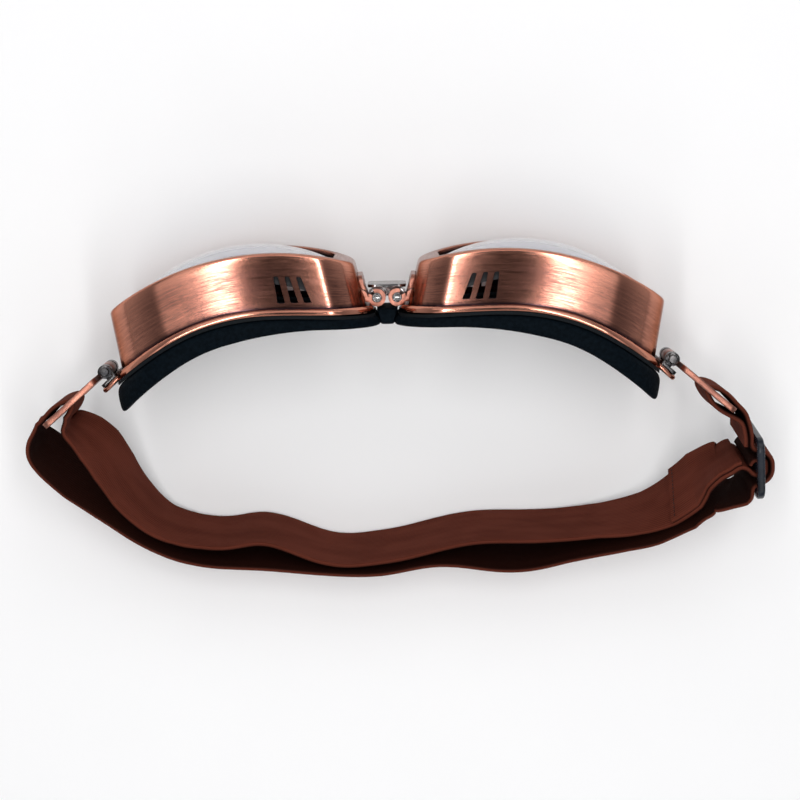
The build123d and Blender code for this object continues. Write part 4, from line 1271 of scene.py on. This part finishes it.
class GOGGLES_OT_bridge(bpy.types.Operator):
    """Build the bridge: the open-curled leaves, the link between them and the two slotted pins"""

    bl_idname = "goggles.bridge"
    bl_label = "Bridge hinge"

    def execute(self, context):
        build_small(("bridge_link_plate", "bridge_link", "bridge", 0.22, 2, nickel(), "chrome"))
        for name, _ in SIDES:
            build_small(
                ("hinge_leaf_curl_" + name, "hinge_leaf_" + name, "cup_" + name, 0.20, 2, copper_bracket(), "copper"),
                ("hinge_pin_" + name, "hinge_screw_" + name, "bridge", 0.10, 2, nickel(), "chrome"),
            )
        return {"FINISHED"}


class GOGGLES_OT_lugs(bpy.types.Operator):
    """Build the temple lugs with their pins and the stamped brackets that carry the strap"""

    bl_idname = "goggles.lugs"
    bl_label = "Lugs and brackets"

    def execute(self, context):
        for name, _ in SIDES:
            cup, bracket = "cup_" + name, "bracket_" + name
            build_small(
                ("temple_lug_" + name, "strap_lug_" + name, cup, 0.18, 2, gunmetal(), "chrome"),
                ("temple_pin_" + name, "lug_pin_" + name, cup, 0.10, 2, gunmetal(), "chrome"),
                ("stamped_" + bracket, "strap_" + bracket, bracket, 0.28, 3, copper_bracket(), "copper"),
            )
        return {"FINISHED"}


class GOGGLES_OT_rivets(bpy.types.Operator):
    """Set the domed rivets that hold the hinge leaves and the temple lugs, four to a cup"""

    bl_idname = "goggles.rivets"
    bl_label = "Rivets"

    def execute(self, context):
        deep, leaf_height, leaf_spread, leaf_proud = -3.7, 6.5, 6.2, 1.33
        lug_spread, lug_proud = 10.8, 1.08
        wall_out = CUP_U * cos(DRAFT_ANGLE) + CUP_S * sin(DRAFT_ANGLE)
        leaf = CUP_ORIGIN + CUP_U * (HALF_W - deep * DRAFT) + CUP_S * deep + wall_out * leaf_proud
        near = int(np.argmin(np.linalg.norm(WRAP - np.array(LUG_AXIS), axis=1)))
        lug_out = np.array((*(-WRAP_BACK[near]), 0.0))
        lug = np.array((*WRAP[near], CUP_ORIGIN[2])) + lug_out * lug_proud
        points, facing = [], []
        for sign in (-1, 1):
            points += [leaf + CUP_V * (leaf_height + sign * leaf_spread), lug + CUP_V * sign * lug_spread]
            facing += [wall_out, lug_out]
        head_radius, head_height = 1.5, 0.62
        values = {"Head radius": head_radius * MM, "Head height": head_height * MM, "Finish": gunmetal()}
        for name, side in SIDES:
            turned = {"facing": mirrored(facing, side)}
            rivets = from_nodes("rivets_" + name, mirrored(points, side), turned, rivet_tree(), values)
            settle(rivets, "cup_" + name, "chrome", ("leaf_rivets_" + name, "lug_rivets_" + name))
        return {"FINISHED"}


class GOGGLES_OT_inner_parts(bpy.types.Operator):
    """Finish the parts seen through the lenses: seals, retainers and pad carriers"""

    bl_idname = "goggles.inner_parts"
    bl_label = "Seals, retainers and carriers"

    def execute(self, context):
        for name, _ in SIDES:
            dress_node("lens_seal_" + name, black_rubber())
            dress_node("lens_retainer_" + name, blackened_metal())
            dress_node("pad_carrier_" + name, moulded_black())
        return {"FINISHED"}


# ---------------------------------------------------------------- strap and slider


# Height of the strap's middle line where it lies on the table, and its lean there in degrees
STRAP_LOW = 12.35
STRAP_LEAN = 15.0
# Points of both layers' middle lines, from left to right
INNER_ROWS = (
    (-105.3, -39.2, 33.9), (-102.6, -42.0, 33.3), (-98.4, -45.6, 32.2), (-94.0, -51.4, 29.8), (-89.3, -60.6, 24.8),
    (-82.2, -71.4, 18.4), (-74.2, -78.0, 14.6), (-64.8, -81.0, 13.0), (-55.0, -81.7, 12.45), (-45.0, -80.6, 12.4),
    (-34.5, -83.2, 12.35), (-25.0, -87.0, 12.35), (-16.0, -88.7, 12.35), (-7.0, -88.2, 12.35), (2.0, -87.0, 12.35),
    (16.0, -83.8, 12.35), (29.0, -81.8, 12.35), (42.0, -81.8, 12.4), (55.0, -81.6, 12.7), (70.0, -80.0, 14.4),
    (83.6, -77.2, 17.6), (94.2, -71.6, 22.2), (101.0, -65.4, 27.0), (105.6, -60.9, 30.0),
)
OUTER_ROWS = (
    (-115.7, -41.5, 33.8), (-116.2, -45.4, 32.8), (-113.0, -50.4, 30.6), (-106.0, -57.0, 26.8), (-96.8, -65.1, 21.7),
    (-87.0, -74.2, 17.4), (-77.5, -81.5, 14.6), (-67.0, -86.2, 13.0), (-55.0, -88.3, 12.5), (-46.0, -88.9, 12.35),
    (-31.0, -90.4, 12.35), (-15.0, -91.8, 12.35), (-3.0, -91.6, 12.35), (11.0, -89.4, 12.35), (22.0, -89.5, 12.35),
    (36.0, -91.4, 12.35), (46.0, -91.2, 12.45), (59.0, -88.5, 13.1), (70.0, -85.8, 14.7), (80.0, -83.0, 16.9),
    (89.0, -79.5, 19.9), (101.3, -72.9, 24.9), (106.4, -70.7, 27.2), (109.9, -69.9, 28.4),
)
# Least lean of the webbing, in degrees, where it lies over outwards near the brackets and the slider, by row
INNER_LEANS = {0: 6, 1: 15, 2: 23, 3: 25, 4: 23, 5: 18, 6: 15, 7: 15, 19: 15, 20: 19, 21: 24, 22: 23, 23: 12}
OUTER_LEANS = {0: 1, 1: 9, 2: 20, 3: 27, 4: 26, 5: 22, 6: 18, 7: 16, 18: 16, 19: 18, 20: 22, 21: 22, 22: 15, 23: 8}
SWING = radians(-41.0)
BRACKET_ALONG = np.array((cos(SWING), sin(SWING), 0.0))
BRACKET_OUT = np.array((-sin(SWING), cos(SWING), 0.0))
BRACKET_ORIGIN = np.array((*LUG_AXIS, CUP_ORIGIN[2]))
UPRIGHT = np.array((0.0, 0.0, 1.0))
# Folds round the brackets as (along the bracket, forward of it); the strap's end as (forward, outward) of the slider
FOLD_PATH = ((27.4, 2.05), (25.4, 2.05), (17.15, 2.05), (14.2, 0.0), (17.15, -2.05), (19.3, -2.5))
LOOP_PATH = (
    (31.0, 0.4), (29.6, 1.2), (28.0, 1.75), (25.4, 2.05), (17.15, 2.05), (14.2, 0.0), (17.15, -2.05), (25.8, -2.0),
    (28.0, -1.5), (29.6, -1.4),
)
TUCKED_END = ((10.4, -4.1), (7.4, -4.1))
SLIDER_CENTRE = np.array((118.8, -56.5, 31.5))
# Centre line of the sewn loop round the slider's middle bar and of the tail that leads to it
SEWN_LOOP = (
    (0.9, -2.95), (2.2, -2.1), (2.75, 0.0), (2.2, 1.9), (0.0, 2.25), (-2.2, 1.9), (-2.75, 0.0), (-2.2, -1.9),
    (-0.5, -3.6), (0.2, -5.6), (-1.2, -8.5), (-2.2, -10.5),
)
PASS_PATH = (
    (-12.6, -7.0), (-11.9, -4.2), (-10.2, -2.6), (-8.0, -2.3), (-6.6, -1.8), (-5.6, 0.0), (-4.6, 2.4), (-2.6, 4.0),
    (0.0, 4.4), (2.6, 4.0), (4.6, 2.4), (5.6, 0.0), (6.6, -1.8), (8.0, -2.3), (10.8, -2.35),
)


def lean_at(height):
    """Lean of the strap in degrees at a height, more the lower it has sunk."""
    return STRAP_LEAN * (CUP_ORIGIN[2] - height) / (CUP_ORIGIN[2] - STRAP_LOW)


def square_to(ups, ahead):
    """Directions turned square to the way ahead, of length 1."""
    return unit(ups - ahead * (ups * ahead).sum(-1)[..., None])


def slider_axes():
    """Forward, outward and upward directions of the slider."""
    heading, rise = radians(92.0), radians(10.0)
    lean = radians(lean_at(SLIDER_CENTRE[2]))
    forward = np.array((cos(heading) * cos(rise), sin(heading) * cos(rise), sin(rise)))
    out = np.array((sin(heading) * cos(lean), -cos(heading) * cos(lean), -sin(lean)))
    out = square_to(out, forward)
    return forward, out, np.cross(out, forward)


def on_slider(pairs):
    """Points given as forward and outward of the slider's centre."""
    forward, out, _ = slider_axes()
    return [SLIDER_CENTRE + forward * a + out * b for a, b in pairs]


def on_bracket(pairs, side=1.0):
    """Points given as along the bracket and forward of it."""
    return [mirrored(BRACKET_ORIGIN + BRACKET_ALONG * a + BRACKET_OUT * b, side) for a, b in pairs]


def leaning_up(points, least):
    """Direction of the strap's width at each point, tipping outwards as the strap sinks and where a row asks for it."""
    pts = np.array(points, float)
    ahead = unit(np.gradient(pts, axis=0))
    out = unit(np.cross(ahead, UPRIGHT))
    lean = np.maximum(lean_at(pts[:, 2]), [least.get(row, 0) for row in range(len(pts))])
    lean = np.radians(lean)[:, None]
    return square_to(out * np.sin(lean) + UPRIGHT * np.cos(lean), ahead)


class Webbing:
    """A run of webbing: where it goes, which way its width points, and how far along each given point lies."""

    def __init__(self, points, ups, step=0.3):
        self.line, self.given = through(points, step=step)
        run = np.linspace(0, self.given[-1], len(self.line))
        up = np.stack([np.interp(run, self.given, np.array(ups)[:, k]) for k in range(3)], axis=1)
        ahead = unit(np.gradient(self.line, axis=0))
        self.up = square_to(up, ahead)
        self.out = np.cross(ahead, self.up)
        self.run = run

    def stations(self, *points):
        """Stations nearest to given points, by their numbers."""
        return [int(round(self.given[k] / self.run[-1] * (len(self.run) - 1))) for k in points]


def webbing_profile(sizes):
    """Section of the webbing as (across the thickness, up the width, edge mask), walked once round."""
    groove, selvedge, loop, loop_share, loop_mask = 0.09, 0.45, 0.12, 0.72, 0.8
    half_t = sizes.webbing_thickness / MM / 2
    half_w = sizes.webbing_width / MM / 2
    count = max(4, int(round(2 * half_w / (sizes.rib_pitch / MM))) - 1)
    face = []
    for k in range(count * 2 + 1):
        up = (k / (count * 2) * 2 - 1) * (half_w - selvedge)
        face.append((half_t - (groove if k % 2 else 0.0), up, 0.0))
    loop_t, loop_up = half_t * loop_share, half_w - loop
    half = face + [(loop_t, loop_up, loop_mask), (0.0, half_w, 1.0), (-loop_t, loop_up, loop_mask)]
    return half + [(-t, -up, mask) for t, up, mask in half]


def webbing_piece(name, webbing, first, last, start_cap=False, end_cap=False, shift=0.0):
    """Mesh of one stretch of webbing between two stations, ribbed along its faces and looped along its edges."""
    sizes, _ = settings()
    edge_loops, seam_gap = 0.16, 0.4
    t, up, edge = np.array(webbing_profile(sizes)).T
    # The back face, inside the fold between the two layers, is marked for painted shade
    back = (t < 0).astype(float)
    stations = np.arange(first, last + 1)
    run = webbing.run[stations]
    beat = (0.5 + 0.5 * np.cos(run * 2 * pi / (sizes.weft_pitch / MM)))[:, None] * edge * edge_loops
    points = (
        webbing.line[stations][:, None]
        + webbing.out[stations][:, None] * (t * (1 - beat) + shift)[..., None]
        + webbing.up[stations][:, None] * (up - np.sign(up) * beat)[..., None]
    )
    points[..., 2] = np.maximum(points[..., 2], TABLE_GAP)
    around = distances(np.stack((t, up), axis=1))
    around = [*around, around[-1] + seam_gap]
    masks = [list(zip(edge, back))] * len(stations)
    verts, faces, uvs, wears = lofted(points, around, run, masks, along_first=True)
    n = len(t)
    # Quads from face to face close a cut end
    edge_points = 3
    for ring in [0] * start_cap + [len(stations) - 1] * end_cap:
        for i in range(n // 2 - 1):
            across = n - edge_points - i - 1
            faces.append((ring * n + i, ring * n + i + 1, ring * n + across - 1, ring * n + across))
            uvs.append(((run[ring], i), (run[ring], i + 1), (run[ring], i + 1), (run[ring], i)))
            wears.append(((1, 0),) * 4)
    piece = make_piece(name, verts, faces, uvs, wears, sharp=80.0)
    dress(piece, elastic())
    return piece


# One row per stretch of the strap: name, first and last path point, bodies, and the CAD nodes it stands for.
# Path points 0-11 are the sewn loop, 12-35 the inner layer, 36-41 the left fold, 42-65 the outer layer,
# 66-80 the pass through the slider, 81-90 the right loop and 91-92 its tucked end.
STRETCHES = (
    ("strap_sewn_loop", 0, 11, ("slider",), ("strap_slider_loop",)),
    ("strap_inner_slider", 11, 13, ("slider", "bracket_right"), ()),
    ("strap_inner_right", 13, 18, ("bracket_right", "cup_right"), ()),
    ("strap_inner_turn_right", 18, 20, ("cup_right", "bridge"), ("strap_right_inner", "strap_sewn_end")),
    ("strap_inner_back", 20, 24, ("bridge",), ("strap_back_inner",)),
    ("strap_inner_turn_left", 24, 27, ("bridge", "cup_left"), ("strap_left_inner",)),
    ("strap_inner_left", 27, 36, ("cup_left", "bracket_left"), ()),
    ("strap_fold", 36, 41, ("bracket_left",), ("strap_left_fold",)),
    ("strap_outer_left", 41, 49, ("bracket_left", "cup_left"), ()),
    ("strap_outer_turn_left", 49, 52, ("cup_left", "bridge"), ("strap_left_outer",)),
    ("strap_outer_back", 52, 55, ("bridge",), ("strap_back_outer",)),
    ("strap_outer_turn_right", 55, 57, ("bridge", "cup_right"), ("strap_right_outer",)),
    ("strap_outer_right", 57, 63, ("cup_right", "bracket_right"), ()),
    ("strap_outer_slider", 63, 66, ("bracket_right", "slider"), ()),
    ("strap_over_slider", 66, 80, ("slider",), ("strap_slider_pass",)),
    ("strap_to_bracket", 80, 81, ("slider", "bracket_right"), ()),
    ("strap_bracket_loop", 81, 90, ("bracket_right",), ("strap_right_loop",)),
    ("strap_tucked_end", 90, 92, ("bracket_right", "slider"), ()),
)
# The doubled end of the strap: where its seam lies, how far its second layer stands off, and its stretches
SEAM_POINT = 14
SEWN_SHIFT = 1.56
SEWN_STRETCHES = {"strap_sewn_loop": (9, 11), "strap_inner_slider": (11, 13), "strap_inner_right": (13, SEAM_POINT)}


def whole_strap():
    """The strap as one run: sewn loop, inner layer, left fold, outer layer, slider and right loop."""
    _, _, slide_up = slider_axes()
    parts = (
        (on_slider(SEWN_LOOP), [slide_up] * len(SEWN_LOOP)),
        (list(reversed(INNER_ROWS)), leaning_up(INNER_ROWS, INNER_LEANS)[::-1]),
        (on_bracket(reversed(FOLD_PATH), -1.0), [UPRIGHT] * len(FOLD_PATH)),
        (OUTER_ROWS, leaning_up(OUTER_ROWS, OUTER_LEANS)),
        (on_slider(PASS_PATH), [slide_up] * len(PASS_PATH)),
        (on_bracket(LOOP_PATH), [UPRIGHT] * len(LOOP_PATH)),
        (on_slider(TUCKED_END), [slide_up] * len(TUCKED_END)),
    )
    points = [np.array(p, float) for path, _ in parts for p in path]
    ups = [np.array(u, float) for _, path in parts for u in path]
    return Webbing(points, ups)


def bend(piece, webbing, bodies, first, last):
    """Rides a stretch on one body, or bends it between two from near its first station to near its last."""
    if len(bodies) == 1:
        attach(piece, bodies[0])
        return
    longest_ease, ease_share = 12, 5
    ease = min(longest_ease, (last - first) // ease_share)
    start, end = webbing.line[first + ease].copy(), webbing.line[last - ease].copy()
    start[2] = end[2] = (start[2] + end[2]) / 2
    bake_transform(piece, *bodies, start=tuple(start * MM), end=tuple(end * MM))


class GOGGLES_OT_strap(bpy.types.Operator):
    """Build the elastic strap: both layers, the folds round the brackets and the pass through the slider"""

    bl_idname = "goggles.strap"
    bl_label = "Elastic strap"

    def execute(self, context):
        webbing = whole_strap()
        for name, first, last, bodies, nodes in STRETCHES:
            a, b = webbing.stations(first, last)
            ends = {"start_cap": first == 0, "end_cap": last == len(webbing.given) - 1}
            piece = webbing_piece(name, webbing, a, b, **ends)
            if name in SEWN_STRETCHES:
                span = SEWN_STRETCHES[name]
                end_cap = span[1] == SEAM_POINT
                second = webbing_piece("sewn", webbing, *webbing.stations(*span), end_cap=end_cap, shift=SEWN_SHIFT)
                piece = join(name, [piece, second])
            bend(piece, webbing, bodies, a, b)
            if nodes:
                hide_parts(*nodes)
        return {"FINISHED"}


def stitch_tree():
    """Geometry nodes that lay one bowed stitch of thread on every point, along the point's own direction."""

    def build(tree, given):
        half, radius, slack = [Value(tree, given[label]) for label in ("Length", "Thread radius", "Slack")]
        half = half * 0.5
        sunk = radius * -1.6
        ins = {
            "Resolution": 6,
            "Start": vector_of(tree, x=half * -1.0, z=sunk),
            "Middle": vector_of(tree, z=radius * 2.2),
            "End": vector_of(tree, x=half, z=sunk),
        }
        bow = node(tree, "GeometryNodeCurveQuadraticBezier", ins).outputs[0]
        thread = swept(tree, bow, circle(tree, 6, given["Thread radius"]), True)
        turned = facing_rotation(tree, "along", "X")
        turned = facing_rotation(tree, "facing", "Z", before=turned, pivot_axis="X")
        # Inputs 2 and 3 are the least and the most of an even random number
        ins = {2: slack * -1.0, 3: slack, "Seed": given["Seed"]}
        tilt = node(tree, "FunctionNodeRandomValue", ins, data_type="FLOAT").outputs[1]
        ins = {"Rotation": turned, "Rotate By": vector_of(tree, z=tilt)}
        askew = node(tree, "FunctionNodeRotateRotation", ins, rotation_space="LOCAL").outputs[0]
        return {"Stitches": set_on_points(tree, given, thread, askew)}

    floats = [(label, "Float") for label in ("Length", "Thread radius", "Slack")]
    inputs = [("Points", "Geometry"), *floats, ("Seed", "Int"), ("Finish", "Material")]
    return node_group("Seam stitches", "GeometryNodeTree", inputs, (("Stitches", "Geometry"),), build)


class GOGGLES_OT_seam(bpy.types.Operator):
    """Sew the seam that holds the end of the inner layer, on both of its faces"""

    bl_idname = "goggles.seam"
    bl_label = "Strap seam"

    def execute(self, context):
        sizes, _ = settings()
        webbing = whole_strap()
        half_row, from_end, proud_of_second, proud, thread_radius = 11.4, 6, 2.36, 0.80, 0.17
        a, b, seam = webbing.stations(13, 18, SEAM_POINT)
        seam -= from_end
        here, up, out = webbing.line[seam], webbing.up[seam], webbing.out[seam]
        points, facing = [], []
        for face, offset in ((out, proud_of_second), (-out, proud)):
            for k in range(sizes.stitch_count):
                points.append(here + up * ((k + 0.5) / sizes.stitch_count * 2 - 1) * half_row + face * offset)
                facing.append(face)
        values = {
            "Length": sizes.stitch_length,
            "Thread radius": thread_radius * MM,
            "Slack": 0.16,
            "Seed": 7,
            "Finish": seam_thread(),
        }
        directions = {"facing": facing, "along": [up] * len(points)}
        stitches = from_nodes("strap_seam", points, directions, stitch_tree(), values)
        bend(stitches, webbing, ("bracket_right", "cup_right"), a, b)
        return {"FINISHED"}


class GOGGLES_OT_slider(bpy.types.Operator):
    """Build the gloss black slider, its corners and slot edges rounded"""

    bl_idname = "goggles.slider"
    bl_label = "Slider"

    def execute(self, context):
        build_small(("strap_slider_frame", "slider", "slider", 0.3, 3, gloss_black(), "slider_plastic"))
        return {"FINISHED"}


# ---------------------------------------------------------------- stage


def white_table():
    """White table top that keeps the soft shadow, whitest to the camera and in reflections."""

    def build(tree):
        haze = noise(tree, object_vector(tree), 30.0, 2.0, 0.5)
        plain = mixed(tree, haze, (0.80,) * 3, (0.84,) * 3)
        white = mixed(tree, haze, (0.965,) * 3, (0.985,) * 3)
        rays = node(tree, "ShaderNodeLightPath").outputs
        seen = Value(tree, rays["Is Camera Ray"]) + rays["Is Glossy Ray"] + rays["Is Transmission Ray"]
        return {"Base Color": mixed(tree, seen.clamped(), plain, white)}

    return finish("White table", build, roughness=0.7, specular_ior_level=0.1)


def dim_room(world):
    """Room light: dark straight above, brighter to both sides of it and dim round about, so the metal shows bands."""
    world.use_nodes = True
    tree = world.node_tree
    ways = node(tree, "ShaderNodeSeparateXYZ", {0: node(tree, "ShaderNodeTexCoord").outputs["Generated"]}).outputs
    turn = Value(tree, ways[0]).sum("ABSOLUTE").sum("ARCTAN2", ways[2])
    tint = (0.03, 0.03, 0.033)
    # Angle from straight up where each brighter or dimmer zone starts and is full, and its colour
    for start, full, colour in (
        (8.0, 13.5, (0.95, 0.94, 0.95)),
        (15.0, 27.0, (0.24, 0.24, 0.25)),
        (27.0, 88.0, (0.50, 0.50, 0.51)),
    ):
        tint = mixed(tree, turn.ramp(radians(start), radians(full)), tint, colour)
    light = tree.nodes["Background"]
    tree.links.new(tint, light.inputs["Color"])
    light.inputs["Strength"].default_value = 1.0


def area_lamp(name, place, turn, size, power):
    """White rectangular lamp, placed in metres and turned about x in degrees."""
    lamp = bpy.data.lights.new(name, "AREA")
    lamp.shape = "RECTANGLE"
    lamp.size, lamp.size_y = size
    lamp.energy = power
    obj = linked(name, lamp)
    obj.location = place
    obj.rotation_euler.x = radians(turn)


class GOGGLES_OT_stage(bpy.types.Operator):
    """Set the table, the lamps, the surroundings and the camera above the goggles"""

    bl_idname = "goggles.stage"
    bl_label = "Table, lamps and camera"

    def execute(self, context):
        scene = bpy.context.scene
        half = 3.0
        table = bpy.data.meshes.new("table_top")
        table.from_pydata([(-half, -half, 0), (half, -half, 0), (half, half, 0), (-half, half, 0)], [], [(0, 1, 2, 3)])
        floor = linked("table_top", table)
        dress(floor, white_table())
        # Two strip lamps give each cup its pair of bright bands
        area_lamp("strip_left", (-0.158, 0.02, 0.90), 0, (0.065, 0.80), 2.4)
        area_lamp("strip_right", (0.182, 0.02, 0.90), 0, (0.065, 0.80), 2.4)
        area_lamp("soft_front", (0.0, 0.75, 0.70), -50, (1.2, 0.6), 2.1)
        area_lamp("soft_back", (0.0, -0.80, 0.80), 46, (1.2, 0.6), 1.5)
        scene.world = bpy.data.worlds.new("surroundings")
        dim_room(scene.world)
        camera = bpy.data.cameras.new("camera")
        # The focal length in pixels of a picture so many pixels wide
        focal, width = 2129.0, 800.0
        camera.sensor_width = 36.0
        camera.lens = focal / width * camera.sensor_width
        camera.clip_start, camera.clip_end = 0.01, 20.0
        eye = linked("camera", camera)
        eye.location = (3.38 * MM, 49.85 * MM, 725.0 * MM)
        tilt, roll = radians(-7.0), radians(-1.3)
        eye.rotation_euler = (Matrix.Rotation(tilt, 3, "X") @ Matrix.Rotation(roll, 3, "Z")).to_euler()
        scene.camera = eye
        scene.view_settings.view_transform = "Standard"
        return {"FINISHED"}


# ---------------------------------------------------------------- panel and registration


STEPS = (
    GOGGLES_OT_cups,
    GOGGLES_OT_lenses,
    GOGGLES_OT_inner_parts,
    GOGGLES_OT_foam,
    GOGGLES_OT_bridge,
    GOGGLES_OT_lugs,
    GOGGLES_OT_rivets,
    GOGGLES_OT_strap,
    GOGGLES_OT_seam,
    GOGGLES_OT_slider,
    GOGGLES_OT_stage,
)


class GOGGLES_PT_pieces(bpy.types.Panel):
    """Builds the goggles piece by piece."""

    bl_idname = "GOGGLES_PT_pieces"
    bl_label = "Flying goggles"
    bl_space_type = "VIEW_3D"
    bl_region_type = "UI"
    bl_category = "Goggles"

    def draw(self, context):
        layout = self.layout
        scene = context.scene
        for step in STEPS:
            layout.operator(step.bl_idname)
        for title, owner in (("Sizes", scene.goggles_sizes), ("Colours", scene.goggles_colours)):
            box = layout.box()
            box.label(text=title)
            for key in owner.bl_rna.properties.keys():
                if key not in {"rna_type", "name"}:
                    box.prop(owner, key)


CLASSES = (GogglesSizes, GogglesColours, *STEPS, GOGGLES_PT_pieces)


def register():
    for cls in CLASSES:
        bpy.utils.register_class(cls)
    bpy.types.Scene.goggles_sizes = PointerProperty(type=GogglesSizes)
    bpy.types.Scene.goggles_colours = PointerProperty(type=GogglesColours)


def unregister():
    del bpy.types.Scene.goggles_colours
    del bpy.types.Scene.goggles_sizes
    for cls in reversed(CLASSES):
        bpy.utils.unregister_class(cls)


def main():
    register()
    for step in STEPS:
        family, operator = step.bl_idname.split(".")
        getattr(getattr(bpy.ops, family), operator)()


if __name__ == "__main__":
    main()
